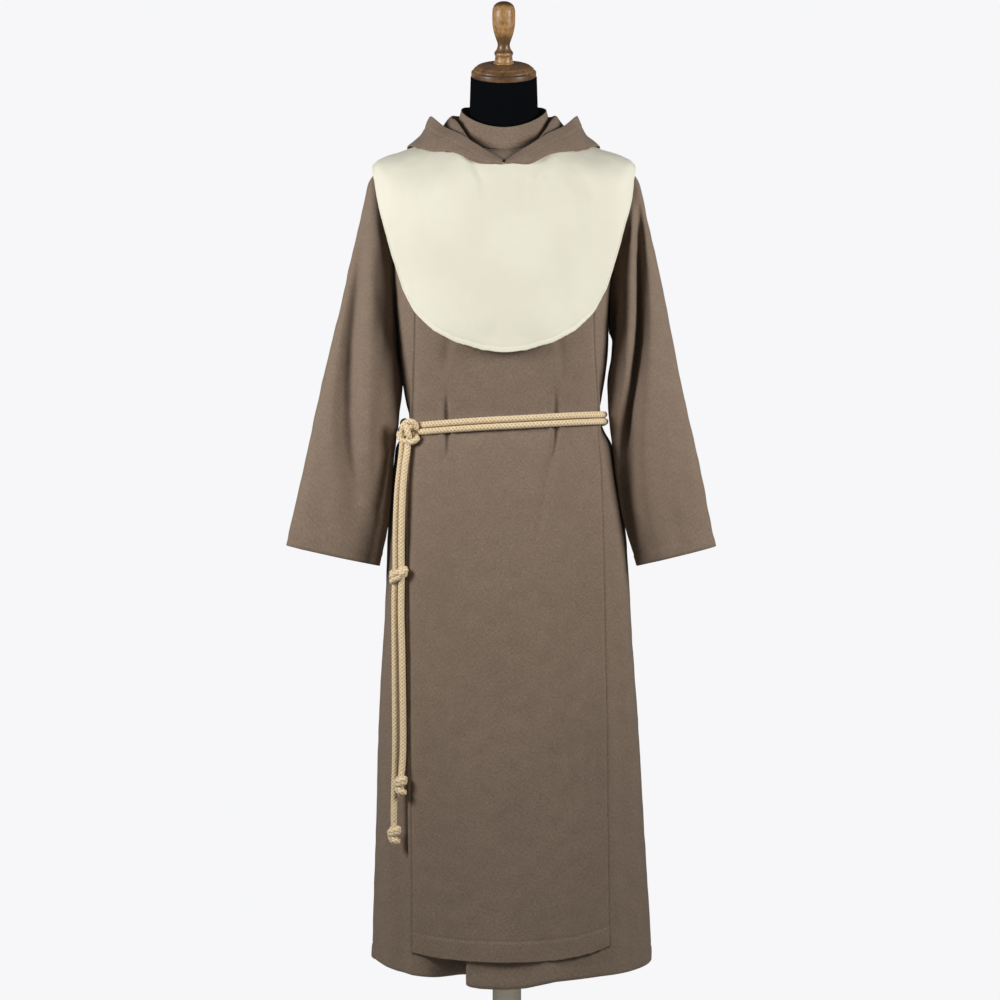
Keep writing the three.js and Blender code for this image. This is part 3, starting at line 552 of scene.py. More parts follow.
def cloth(node, grid, thick, finish, slot, around=False, keep=None):
    """A closed sheet of cloth behind a grid of points of its outer face, edges rounded.

    Only the faces that keep marks are cut, or all of them where it isn't given."""
    rows, columns = grid.shape[:2]
    outer = grid.reshape(-1, 3)
    inner = (grid - facing(grid, around) * thick).reshape(-1, 3)
    count = len(outer)
    i, j = np.meshgrid(np.arange(rows - 1), np.arange(columns if around else columns - 1), indexing="ij")
    if keep is not None:
        i, j = i[keep], j[keep]
    i, j = i.ravel(), j.ravel()
    corners = [(i, j), (i + 1, j), (i + 1, j + 1), (i, j + 1)]
    face = np.stack([a * columns + b % columns for a, b in corners], 1)
    # the cloth's own measures, across and down, as it lay when it was cut
    wide = wrapped(grid) if around else grid
    across = run_along(wide, 1)
    across -= across[:, [across.shape[1] // 2]]
    down = run_along(wide)
    uv = np.stack([np.stack([across[a, b], -down[a, b]], 1) for a, b in corners], 1)
    # the open edges: those that only one face has
    start, end = face.ravel(), np.roll(face, -1, 1).ravel()
    single = ~np.isin(start * count + end, end * count + start)
    start, end = start[single], end[single]
    centre = outer[face].mean(1)
    push = np.zeros_like(outer)
    np.add.at(push, face.ravel(), outer[face.ravel()] - np.repeat(centre, 4, 0))
    rim = np.unique(start)
    away = push[rim] / np.maximum(np.linalg.norm(push[rim], axis=1, keepdims=True), 1e-12)
    middle = (outer[rim] + inner[rim]) / 2 + away * thick * 0.35
    at = np.zeros(count, int)
    at[rim] = 2 * count + np.arange(len(rim))
    edge_uv = np.repeat(uv.reshape(-1, 2)[single][:, None], 4, 1)
    faces = np.vstack([
        face,
        face[:, ::-1] + count,
        np.stack([end, start, at[start], at[end]], 1),
        np.stack([at[end], at[start], start + count, end + count], 1),
    ])
    uv = np.vstack([uv, uv[:, ::-1], edge_uv, edge_uv])
    points = np.vstack([outer, inner, middle])
    piece = part(f"{node}_cloth", points, faces.tolist(), finish, node, slot, uv)
    # the area of the cut that shows
    first, second, third, fourth = outer[face.T]
    area = np.linalg.norm(np.cross(third - first, fourth - second), axis=1).sum() / 2
    return piece


def wool(name):
    """Matt melange wool cloth: a fine plain weave of yarns that vary a little in their brown."""
    made = Finish(name, Roughness=0.95, Sheen_Weight=0.1, Sheen_Roughness=0.5,
                  Specular_IOR_Level=0.1)
    cut = made.cut()
    weave = made.weave(cut, 0.0019, 0.0017)
    yarn = (made.streaks(cut, (820, 210, 1), 2, 0.6) + made.streaks(cut, (190, 760, 1), 2, 0.6)) * 0.5
    cloud = made.noise(made.place(), 34, 4, 0.75)
    colour = made.mix(yarn.between(0.34, 0.66), linear(116, 100, 86), linear(141, 124, 109))
    made.show("Base Color", made.shade(colour, weave * 0.08 + cloud * 0.3 + 0.8))
    made.bump(weave + yarn * 1.2, 0.0003, 0.4)
    return made


brown = wool("brown_wool")

PLEAT_EDGE = -67
PLEAT_TOP = 840
HEM_Z = 183
PLEAT = [
    # across  back, in mm
    (-95, 0), (-60, 8), (-28, 38), (2, 70), (20, 66), (11, 38), (-1, 7), (5, 0), (22, 0),
]


def off_column(grid, column):
    """How far each point is from the point of its row in one column."""
    return np.linalg.norm(grid - grid[:, [column]], axis=2)


def seam_line(grid, columns, depth=0.0009, reach=0.004):
    """The cloth turns in at the outer columns where it is sewn to another piece."""
    return sum(-depth * np.exp(-((off_column(grid, column) / reach) ** 2)) for column in columns)


def hem_line(grid, deep, edge=-1):
    """A turned-up hem: a little thicker near the edge, and a sunk row of stitches above it."""
    run = run_along(grid)
    off = run[-1] - run if edge == -1 else run
    thicker, sunk = 0.0006, 0.0008
    fold = thicker / (1 + np.exp((off - deep) / 0.0012))
    return fold - sunk * np.exp(-(((off - deep) / 0.0022) ** 2))


def seam_at_side(grid, half):
    """Stops the panel's outermost columns at the side seam."""
    for column in (0, -1):
        grid[:, column, 1] = half * SEAM_HALF_GAP
    return grid


def tunic_panel(grid, half, table, seed):
    lift = folds(grid, table)
    lift += uneven_lie(grid, seed, 150, 0.0007, 42, 0.00022, (1, 1, 0.45))
    lift += seam_line(grid, (0, -1)) + hem_line(grid, TUNIC_HEM)
    return seam_at_side(raised(grid, lift), half)


# columns of points before the pleat, in it and after it
BEFORE, INSIDE, AFTER = 33, 46, 65
rows = evenly(TUNIC_RINGS, 236)
hem_x = PLEAT_EDGE + np.array([PLEAT[0][0], PLEAT[-1][0]])
first, last = angle_at(np.array([LAST, LAST]), hem_x, -1)
angles = np.concatenate([
    np.linspace(-math.pi, first, BEFORE + 1)[:-1],
    np.linspace(first, last, INSIDE),
    np.linspace(last, 0, AFTER + 1)[1:],
])
front = girth(TUNIC_RINGS, rows[:, None], angles)
hem = girth(TUNIC_RINGS, LAST, angles)
drop = np.interp(hem[:, 0] * 1000, *HEM_LINE.T) / 1000 - hem[:, 2]
front[..., 2] += drop * np.clip(rows[:, None] - LAST + 1, 0, 1)

# the pleat's own columns move in behind its edge
line = between_rows(PLEAT, np.linspace(0, len(PLEAT) - 1, INSIDE))
folded = girth(
    TUNIC_RINGS, rows[:, None], angle_at(rows[:, None], PLEAT_EDGE + line[:, 0][None], -1))
folded[..., 1] += line[:, 1] / 1000
flat = front[:, BEFORE:BEFORE + INSIDE]
opening = eased(np.clip((PLEAT_TOP / 1000 - flat[..., 2]) / ((PLEAT_TOP - HEM_Z) / 1000), 0, 1))
flat[..., :2] += (folded - flat)[..., :2] * opening[..., None]

TUNIC_FOLDS = [
    # height width points: X, Z, share
    (5, 16, [(184, 1040, 0), (196, 900, 0.7), (212, 600, 1), (232, 200, 0.6)]),
    (-5, 15, [(168, 1000, 0), (186, 760, 0.8), (203, 420, 1), (208, 190, 0.5)]),
    (-6, 18, [(-176, 860, 0), (-178, 600, 0.6), (-180, 300, 1), (-180, 170, 1)]),
    (4, 16, [(-196, 1000, 0), (-204, 700, 1), (-210, 300, 0.7)]),
    (-3, 12, [(-120, 420, 0), (-118, 250, 1), (-122, 170, 1)]),
    (3, 22, [(60, 460, 0), (70, 280, 1), (72, 170, 1)]),
]
front = tunic_panel(front, -1, TUNIC_FOLDS, 3)

BACK_FOLDS = [
    (7, 22, [(-120, 1030, 0), (-128, 760, 0.7), (-140, 180, 1)]),
    (-6, 16, [(-84, 1000, 0), (-88, 700, 0.8), (-96, 180, 1)]),
    (8, 24, [(-40, 900, 0), (-44, 600, 0.7), (-52, 180, 1)]),
    (-5, 18, [(10, 860, 0), (10, 560, 0.8), (6, 180, 1)]),
    (7, 22, [(62, 1000, 0), (66, 700, 0.8), (72, 180, 1)]),
    (-6, 16, [(112, 1030, 0), (122, 740, 0.8), (132, 180, 1)]),
    (6, 20, [(160, 900, 0), (172, 600, 0.8), (186, 180, 1)]),
]
back = girth(TUNIC_RINGS, rows[::2][:, None], np.linspace(0, math.pi, 90))
back = tunic_panel(back, 1, BACK_FOLDS, 5)

# ---- Sleeves
# Straight, wide tubes of the same wool, each one piece sewn up under the arm, set into the
# armholes. They hang away from the body, with a soft trough down the front of each.

RIGHT_SLEEVE = [
    # outer X  Z, inner X  Z, middle Y, half depth, trough at, trough depth
    (-188, 1556, -174, 1284, 0, 26, 0.1, 0),
    (-212, 1566, -187.5, 1270, 0, 32, 0.1, 0),
    (-228, 1552, -190.5, 1260, 0, 43, 0.1, 0),
    (-239, 1535, -190, 1248, -2, 51, 0.06, 2),
    (-255, 1463, -189, 1224, -6, 56, 0.09, 7),
    (-276, 1369, -184, 1185, -15, 58, 0.18, 18),
    (-303, 1248, -188, 1134, -27, 57, 0.28, 20),
    (-332, 1117, -197, 1052, -42, 54, 0.45, 16),
    (-358, 1000, -204.5, 950, -48, 49, 0.65, 11),
    (-380, 902, -221.5, 867, -50, 44, 0.82, 4),
]
LEFT_SLEEVE = [
    (178, 1556, 164, 1284, 0, 26, 0.1, 0),
    (203, 1566, 179, 1268, 0, 32, 0.1, 0),
    (221, 1552, 182.5, 1256, 0, 43, 0.1, 2),
    (232, 1535, 182, 1244, -2, 51, 0.12, 6),
    (247, 1463, 180.5, 1224, -6, 56, 0.27, 22),
    (266, 1369, 175.5, 1185, -15, 58, 0.4, 32),
    (290, 1248, 177.5, 1134, -27, 57, 0.63, 34),
    (317, 1117, 184.5, 1052, -42, 54, 0.83, 28),
    (341, 1000, 199.5, 950, -48, 49, 0.93, 15),
    (361, 901, 225, 867, -50, 44, 0.95, 4),
]
TROUGH_WIDTH = {-1: 0.17, 1: 0.12}   # a share of the width, softer on the wearer's right
INNER_SLOPE = 0.4   # how much flatter the front is towards the body
SLOPE_FROM = 0.66   # of the way across, where it starts
SLEEVE_POWER = 0.9   # 1 would be an oval section, and less is squarer
CUFF_HEM = 0.02
SLEEVE_COLUMNS = 96
ARMHOLE_X = (0.15, 0.215)   # the armholes lie between these, and above this height
ARMHOLE_Z = 1.2


def sleeve(table, side):
    """Rings of a sleeve from the shoulder to the cuff; the first point is at the outside."""
    t = np.linspace(0, len(table) - 1, 150)
    outer_x, outer_z, inner_x, inner_z, y, depth, trough_at, trough = between_rows(table, t).T[..., None]
    angle = side * round_turn(SLEEVE_COLUMNS)
    c, s = powered(np.cos(angle), SLEEVE_POWER), powered(np.sin(angle), SLEEVE_POWER)
    share = (1 - c) / 2
    slope = np.clip((share - SLOPE_FROM) / (1 - SLOPE_FROM), 0, 1)
    dip = trough * np.exp(-(((share - trough_at) / TROUGH_WIDTH[side]) ** 2))
    dip = np.where(s < 0, dip + INNER_SLOPE * depth * eased(slope), 0)
    x = (outer_x + inner_x) / 2 + (outer_x - inner_x) / 2 * c
    z = (outer_z + inner_z) / 2 + (outer_z - inner_z) / 2 * c
    grid = np.stack([x, y + s * depth - dip * s, z], -1) / 1000
    return grid if side > 0 else grid[:, ::-1]


def surface_tree(*grids):
    """The surfaces of some grids, to be asked what a line through a point meets."""
    points, faces = [], []
    for grid in grids:
        at, _ = ring_numbers(*grid.shape[:2], len(points))
        points += grid.reshape(-1, 3).tolist()
        faces += quads(at[:-1, :-1], at[1:, :-1], at[1:, 1:], at[:-1, 1:])
    return BVHTree.FromPolygons(points, faces)


def centres(grid):
    return (grid[:-1, :-1] + grid[1:, :-1] + grid[1:, 1:] + grid[:-1, 1:]) / 4


def met(tree, point, direction):
    return tree.ray_cast(Vector(point), Vector(direction))[0] is not None


body_tree = surface_tree(front[::3], back[::2])
sleeves, sleeve_trees = [], []
for name, table, side, seed in (
    ("sleeve_right", RIGHT_SLEEVE, -1, 11), ("sleeve_left", LEFT_SLEEVE, 1, 17),
):
    grid = sleeve(table, side)
    middle = centres(wrapped(grid))
    near = np.abs(middle[..., 0]) < ARMHOLE_X[1]
    sewn = np.ones(near.shape, bool)
    for i, j in zip(*np.nonzero(near)):
        sewn[i, j] = not met(body_tree, middle[i, j], (side, 0, 0))
    sleeves.append((name, grid, sewn, seed))
    sleeve_trees.append((surface_tree(wrapped(grid)), side))


def armholes(grid):
    """Where a panel of the tunic is kept: all of it but what is inside the sleeves."""
    middle = centres(grid)
    keep = np.ones(middle.shape[:2], bool)
    for tree, side in sleeve_trees:
        near = (middle[..., 0] * side > ARMHOLE_X[0]) & (middle[..., 2] > ARMHOLE_Z)
        for i, j in zip(*np.nonzero(near)):
            keep[i, j] = not (
                met(tree, middle[i, j], (0, 0, 1)) and met(tree, middle[i, j], (0, 0, -1)))
    return keep


cloth("tunic_front", front, WOOL, brown, "wool", keep=armholes(front))
cloth("tunic_back", back, WOOL, brown, "wool", keep=armholes(back))

SLEEVE_FOLDS = {
    "sleeve_right": [
        # height width points: X, Z, share
        (4, 10, [(-262, 1420, 0), (-280, 1330, 0.8), (-294, 1254, 1), (-305, 1150, 1), (-304, 1060, 0.4),
                 (-298, 980, 0)]),
        (-8, 16, [(-248, 1430, 0.3), (-258, 1330, 0.9), (-264, 1254, 1), (-268, 1150, 1), (-266, 1080, 1),
                  (-260, 1010, 0.8), (-250, 915, 0.1)]),
        (4, 12, [(-236, 1420, 0), (-238, 1254, 0.8), (-240, 1117, 1), (-232, 1030, 0.8), (-226, 980, 0)]),
        (-3, 8, [(-262, 1010, 0), (-240, 985, 1), (-214, 960, 0.4)]),
        (2.5, 10, [(-320, 1160, 0), (-336, 1020, 1), (-350, 905, 0.6)]),
        (-2.5, 12, [(-300, 1060, 0), (-312, 980, 1), (-322, 890, 0.8)]),
    ],
    "sleeve_left": [
        (-9, 8.5, [(222, 1520, 0.2), (227.7, 1442, 0.9), (228.5, 1350, 1), (227.7, 1254, 1), (217.5, 1185, 1),
                   (211, 1117, 0.8), (210, 1060, 0)]),
        (-14, 9, [(212, 1170, 0), (212, 1110, 0.7), (213, 1048, 1), (210, 980, 1), (216, 929, 0.8),
                   (222, 880, 0.4)]),
        (4, 9, [(208, 1440, 0), (209, 1330, 1), (206, 1254, 0.6), (198, 1200, 0)]),
        (3, 12, [(262, 1260, 0), (278, 1120, 1), (296, 960, 0.5)]),
        (-2.5, 11, [(280, 1010, 0), (288, 940, 1), (296, 885, 0.8)]),
    ],
}
for name, grid, sewn, seed in sleeves:
    forward = np.clip(-(grid[..., 1] - grid[..., 1].mean(1, keepdims=True)) / 0.02, -0.45, 1)
    push = folds(grid, SLEEVE_FOLDS[name]) * forward
    lift = uneven_lie(grid, seed, 120, 0.0007, 38, 0.00025, (1, 1, 0.5)) + hem_line(grid, CUFF_HEM)
    # the seam under the arm, as columns away from it
    from_seam = np.abs(np.arange(SLEEVE_COLUMNS) - SLEEVE_COLUMNS / 2)
    lift -= 0.0009 * np.exp(-((from_seam / 0.8) ** 2))
    grid = raised(grid, lift, True)
    grid[..., 1] += push * np.where(forward > 0, -1, 1)
    cloth(name, grid, WOOL, brown, "wool", True, sewn)

# ---- Collar
# A mock collar of the same wool, folded double along its top edge and sewn to the tunic's
# neckline. It follows the neck loosely and dips in front.

COLLAR_CLOTH = 0.0024
COLLAR_WIDTH = 0.045
COLLAR_STITCHES = 0.036   # below the folded edge
COLLAR_ROWS = 34
COLLAR_RINGS = [
    tilted(74.5, 1662, 78, 1620, 66, 1674, 2.0, NECK_X),
    tilted(79, 1642, 83, 1600, 69, 1658, 2.0, NECK_X),
    tilted(80.5, 1617, 85, 1582.5, 70.5, 1635, 2.0, NECK_X),
]
grid = girth(COLLAR_RINGS, np.linspace(0, 2, COLLAR_ROWS)[:, None], round_turn(180))
off = np.linspace(0, 1, COLLAR_ROWS)[:, None] * COLLAR_WIDTH
lift = unevenness(grid, 55, 23) * 0.0005 + 0.0004 * np.exp(-((off / 0.003) ** 2))
lift = lift - 0.0007 * np.exp(-(((off - COLLAR_STITCHES) / 0.0016) ** 2))
grid = raised(grid, lift, True)
cloth("collar", grid, COLLAR_CLOTH, brown, "wool", True)

# ---- Scapular
# A long straight apron of the wool in front and behind, sewn together along the shoulders
# with an opening for the neck. It hangs free over the tunic, gathered in by the belt.

SCAPULAR_LIFT = 0.0058
SCAPULAR_HEM = 0.034
SCAPULAR_EDGES = np.array([
    # Z  wearer's right edge X  left edge X
    (200, -162, 175), (545, -165, 171), (805, -168, 167), (1030, -170, 162),
    (1124, -163, 155), (1240, -159, 150), (1620, -150, 140),
], float)
SCAPULAR_BOTTOM = {"middle": 209, "right": 219, "left": 231}
SHOULDER_RING = 3


def ridge_at(x):
    """How far down the tunic's rings the ridge of the shoulder has an X."""
    low, high = np.full(x.shape, 0.35), np.full(x.shape, float(SHOULDER_RING))
    for _ in range(26):
        t = (low + high) / 2
        row = between_rows(TUNIC_RINGS, t)
        outside = np.abs(x - row[..., 7]) > row[..., 0]
        low, high = np.where(outside, t, low), np.where(outside, high, t)
    return (low + high) / 2


def points_at(wanted, run, line):
    """The points at some places along a line whose own points are at the places of run."""
    return np.stack([np.interp(wanted, run, line[:, axis]) for axis in range(3)], 1)


def resampled(paths, count):
    """Each column of points spread along its own line, closer together at the hem."""
    even = np.linspace(0, 1, count)
    closer = 0.3 * even + 0.7 * np.sin(even * math.pi / 2)
    columns = []
    for line in paths.transpose(1, 0, 2):
        run = run_along(line)
        columns.append(points_at(run[-1] * closer, run, line))
    return np.stack(columns, 1)


def scapular(half, rows, columns):
    """The scapular's points on the tunic, from the shoulder's ridge to its own hem."""
    even = np.linspace(0, 1, columns)
    share = 0.45 * even + 0.55 * (0.5 - 0.5 * np.cos(math.pi * even))   # closer at both edges
    heights, *edges = SCAPULAR_EDGES.T

    def angle_on(t):
        z = between_rows(TUNIC_RINGS, t)[..., 3]
        first, last = (angle_at(t, np.interp(z, heights, edge), half) for edge in edges)
        return first[..., None] + (last - first)[..., None] * share

    edge_angle = angle_on(np.array([SHOULDER_RING]))[0]
    edge_x = girth(TUNIC_RINGS, SHOULDER_RING, edge_angle)[:, 0] * 1000
    top = ridge_at(edge_x)
    down = np.linspace(0, 1, 160)[:-1, None] ** 2
    t = top + (SHOULDER_RING - top) * down
    shoulder = girth(TUNIC_RINGS, t, angle_at(t, np.broadcast_to(edge_x, t.shape), half))
    t = np.linspace(SHOULDER_RING, LAST, 500)
    body = girth(TUNIC_RINGS, t[:, None], angle_on(t))
    paths = np.vstack([shoulder, body])
    corner = np.where(share < 0.5, SCAPULAR_BOTTOM["right"], SCAPULAR_BOTTOM["left"])
    bottom = SCAPULAR_BOTTOM["middle"] + (corner - SCAPULAR_BOTTOM["middle"]) * (2 * share - 1) ** 2
    for j in range(columns):
        below = paths[:, j, 2] < bottom[j] / 1000
        cut = np.argmax(below)
        paths[cut:, j] = paths[cut, j]
        paths[cut:, j, 2] = bottom[j] / 1000
    grid = resampled(paths, rows)
    return grid if half < 0 else grid[:, ::-1]


SCAPULAR_FOLDS = [
    # height width points: X, Z, share
    (-5.2, 4, [(-103, 1172, 0), (-101, 1150, 0.7), (-100, 1126, 1), (-99, 1085, 1), (-100, 1064, 0.5),
               (-104, 1040, 0)]),
    (3.6, 5, [(-93, 1170, 0), (-92, 1130, 1), (-91, 1080, 1), (-90, 1040, 0)]),
    (3.2, 5, [(-109, 1164, 0), (-108.5, 1125, 1), (-108, 1085, 0.9), (-110, 1056, 0)]),
    (-5.2, 4, [(82, 1176, 0), (81, 1150, 0.7), (80, 1126, 1), (80, 1088, 1), (76, 1060, 0.5),
               (72, 1036, 0)]),
    (3.6, 5, [(72.5, 1176, 0), (72, 1130, 1), (71.5, 1088, 1), (68, 1040, 0)]),
    (3.2, 5, [(89, 1166, 0), (88.5, 1128, 1), (88, 1090, 0.9), (86, 1056, 0)]),
    (-2.2, 6, [(76, 1060, 0.6), (66, 1010, 1), (56, 940, 0.6), (48, 880, 0)]),
    (1.6, 8, [(92, 1078, 0), (82, 1010, 1), (70, 930, 0)]),
    (-2, 5, [(-100, 1064, 0.8), (-108, 1050, 1), (-114, 1036, 0)]),
    (-1.8, 6, [(-92, 1066, 0), (-90, 1010, 1), (-89, 950, 0)]),
    (-1.8, 5, [(74, 670, 0), (82, 610, 1), (96, 536, 0.3), (98, 520, 0)]),
    (-2.2, 12, [(148, 640, 0), (150, 560, 1), (148, 470, 0.8), (144, 380, 0)]),
    (2, 11, [(132, 700, 0), (132, 540, 1), (128, 380, 0)]),
    (1.6, 16, [(-60, 1020, 0), (-66, 800, 0.8), (-72, 500, 1), (-74, 240, 0.6)]),
    (-1.6, 15, [(-112, 900, 0), (-116, 640, 1), (-118, 300, 0.5)]),
    (1.5, 20, [(10, 640, 0), (6, 420, 1), (4, 214, 1)]),
    (-1.3, 18, [(56, 500, 0), (60, 330, 1), (60, 225, 0.7)]),
    (-3.4, 9, [(-96, 1256, 0.6), (-102, 1226, 1), (-110, 1180, 0)]),
    (-3.4, 9, [(88, 1250, 0.6), (92, 1214, 1), (98, 1160, 0)]),
    (-2.2, 4, [(-152, 1226, 0.3), (-156, 1150, 1), (-160, 1106, 0.6)]),
]
SCAPULAR_BACK_FOLDS = [
    (-2.4, 5, [(-70, 1180, 0), (-68, 1115, 1), (-72, 1040, 0)]),
    (2.4, 8, [(-56, 1180, 0), (-54, 1115, 1), (-60, 1000, 0)]),
    (-2.4, 5, [(58, 1176, 0), (56, 1115, 1), (62, 1030, 0)]),
    (2.4, 8, [(44, 1180, 0), (42, 1115, 1), (50, 1000, 0)]),
    (-2.6, 16, [(-30, 1010, 0), (-38, 760, 1), (-44, 380, 0.6), (-46, 220, 0.6)]),
    (3, 20, [(18, 960, 0), (20, 680, 1), (24, 360, 0.8), (24, 220, 0.6)]),
    (-2.4, 16, [(92, 940, 0), (104, 640, 1), (112, 300, 0.6)]),
    (2.6, 16, [(-104, 960, 0), (-114, 700, 1), (-122, 340, 0.6)]),
]


def selvedge(grid):
    """The turned edges at both sides stand out a little, with a stitched groove inside."""
    reach, edge, groove = 0.0045, 0.0015, 0.0012
    lift = np.zeros(grid.shape[:2])
    for column in (0, -1):
        off = off_column(grid, column)
        lift += edge / (1 + np.exp((off - reach) / 0.0008))
        lift -= groove * np.exp(-(((off - reach - 0.002) / 0.002) ** 2))
    return lift


for name, under, half, rows, columns, table, seed in (
    ("scapular_front", "tunic_front", -1, 300, 156, SCAPULAR_FOLDS, 31),
    ("scapular_back", "tunic_back", 1, 190, 96, SCAPULAR_BACK_FOLDS, 37),
):
    grid = scapular(half, rows, columns)
    lift = SCAPULAR_LIFT + folds(grid, table) + selvedge(grid) + hem_line(grid, SCAPULAR_HEM)
    lift += uneven_lie(grid, seed, 130, 0.0008, 40, 0.00022, (1, 1, 0.5))
    grid = raised(grid, lift)
    ridge = np.abs(grid[0, :, 1]) < 0.004
    grid[0, ridge, 1] = half * SEAM_HALF_GAP
    cloth(name, grid, WOOL, brown, "wool")

# ---- Cape
# A round shoulder cape of off-white linen, open only at the neck, with a narrow turned edge.
# It lies over the scapular and the heads of the sleeves, under the hood.

LINEN = 0.0016
CAPE_HEM = 0.008
CAPE_LIFT = 0.0104
CAPE_MIDDLE = -4.5
YOKE_RINGS = [
    #      side sideZ front frontZ back backZ square middle
    *TUNIC_RINGS[:2],
    tilted(168, 1583, 114, 1517, 99.5, 1576, 2.25, NECK_X),
    tilted(203, 1572, 122, 1468, 109.5, 1527, 2.3, -5),
    tilted(219, 1561, 128, 1415, 114.5, 1465, 2.2, -4.5),
    tilted(224, 1535, 132, 1350, 118, 1390, 2.1, -4.5),
    tilted(227, 1490, 137, 1280, 122, 1310, 2.0, -4.5),
    tilted(229, 1430, 141, 1200, 125, 1220, 2.0, -4.5),
    tilted(231, 1370, 144, 1120, 128, 1140, 2.0, -4.5),
]
CAPE_OUTLINE = np.array([
    # Z  half width
    (1230, 0), (1234, 38), (1248, 83), (1269, 121), (1300, 152), (1342, 175), (1426, 201),
    (1532, 225), (1568, 229.6), (1700, 229.6),
], float)
CAPE_BOTTOM = 1230.2
CAPE_NECK = {"side": 0.3, "front": 1.15}   # the rings at which the neck's edge lies
CAPE_EDGE_FROM = 1.4   # the ring from which the outer edge is looked for


def cape_half_width(z):
    spot = np.interp(z, CAPE_OUTLINE[:, 0], np.arange(len(CAPE_OUTLINE)))
    return between_rows(CAPE_OUTLINE, spot)[..., 1]


def cape_grid(half, columns):
    first = -math.pi if half < 0 else 0
    angle = first + math.pi * np.linspace(0, 1, columns)
    fine = np.linspace(0, len(YOKE_RINGS) - 1, 700)
    form = girth(YOKE_RINGS, fine[:, None], angle)
    form = raised(form, np.full(form.shape[:2], CAPE_LIFT))
    forward = np.sin(angle) ** 2 if half < 0 else 0 * angle
    neck = CAPE_NECK["side"] + (CAPE_NECK["front"] - CAPE_NECK["side"]) * forward
    x, z = form[..., 0] * 1000, form[..., 2] * 1000
    outside = (np.abs(x - CAPE_MIDDLE) > cape_half_width(z)) | (z < CAPE_BOTTOM)
    outside &= fine[:, None] > CAPE_EDGE_FROM
    paths = []
    for j in range(columns):
        edge = fine[np.argmax(outside[:, j])]
        paths.append(points_at(np.linspace(neck[j], edge, 300), fine, form[:, j]))
    return resampled(np.stack(paths, 1), 96)


CAPE_FOLDS = [
    # height width points: X, Z, share
    (-2.2, 8, [(-66, 1576, 0.7), (-40, 1522, 1), (-34, 1480, 0)]),
    (2, 8, [(-78, 1570, 0.6), (-54, 1520, 1), (-46, 1470, 0)]),
    (-2, 8, [(64, 1570, 0.7), (34, 1528, 1), (26, 1490, 0)]),
    (2, 8, [(78, 1566, 0.6), (48, 1520, 1), (38, 1474, 0)]),
    (-3, 16, [(-110, 1574, 0), (-150, 1520, 1), (-176, 1440, 0.7), (-182, 1370, 0)]),
    (2.4, 14, [(-96, 1570, 0), (-128, 1500, 1), (-150, 1420, 0)]),
    (-2.6, 16, [(96, 1572, 0), (134, 1520, 1), (160, 1440, 0.6), (168, 1380, 0)]),
    (2, 14, [(84, 1560, 0), (112, 1500, 1), (134, 1430, 0)]),
    (2, 24, [(-60, 1420, 0), (-66, 1340, 1), (-70, 1262, 0.8)]),
    (-1.8, 20, [(-20, 1400, 0), (-20, 1320, 1), (-22, 1235, 0.8)]),
    (1.8, 22, [(40, 1410, 0), (46, 1330, 1), (50, 1245, 0.8)]),
    (-2, 18, [(100, 1440, 0), (110, 1360, 1), (116, 1280, 0.6)]),
    (-2.2, 14, [(-120, 1400, 0), (-132, 1340, 1), (-140, 1290, 0.6)]),
]
CAPE_BACK_FOLDS = [
    (4, 24, [(-110, 1500, 0), (-120, 1400, 1), (-128, 1320, 0.7)]),
    (-3.5, 18, [(-70, 1480, 0), (-72, 1360, 1), (-74, 1262, 0.8)]),
    (4, 24, [(-20, 1440, 0), (-24, 1340, 1), (-26, 1240, 0.8)]),
    (-3, 18, [(32, 1440, 0), (34, 1340, 1), (36, 1245, 0.8)]),
    (4, 24, [(86, 1500, 0), (94, 1380, 1), (100, 1280, 0.7)]),
    (-3, 16, [(140, 1520, 0), (150, 1430, 1), (156, 1350, 0.5)]),
]


def linen(name):
    """Off-white plain-woven cotton and linen: even, matt, with a few thicker threads."""
    made = Finish(name, Roughness=0.85, Sheen_Weight=0.15, Sheen_Roughness=0.4,
                  Specular_IOR_Level=0.2)
    cut = made.cut()
    weave = made.weave(cut, 0.0013, 0.0013)
    slub = made.streaks(cut, (800, 130, 1), 2) + made.streaks(cut, (130, 800, 1), 2)
    cloud = made.noise(made.place(), 9, 2)
    colour = made.mix(cloud.between(0.3, 0.7), linear(226, 223, 206), linear(231, 228, 212))
    made.show("Base Color", made.shade(colour, weave * 0.04 + slub * 0.03 + 0.93))
    made.bump(weave + slub * 0.6, 0.0003, 0.35)
    return made


white = linen("white_linen")
for name, under, half, columns, table, seed in (
    ("cape_front", "scapular_front", -1, 150, CAPE_FOLDS, 41),
    ("cape_back", "scapular_back", 1, 130, CAPE_BACK_FOLDS, 43),
):
    grid = cape_grid(half, columns)
    lift = folds(grid, table) + hem_line(grid, CAPE_HEM)
    lift += uneven_lie(grid, seed, 110, 0.0009, 34, 0.0002)
    lift += seam_line(grid, (0, -1), 0.0006, 0.003)
    grid = seam_at_side(raised(grid, lift), half)
    cloth(name, grid, LINEN, white, "linen")

# ---- Hood
# A deep pointed hood of the wool, worn down: a doubled cowl around the neck that meets in a
# low V in front, and hangs in a point behind. It is sewn along its middle.

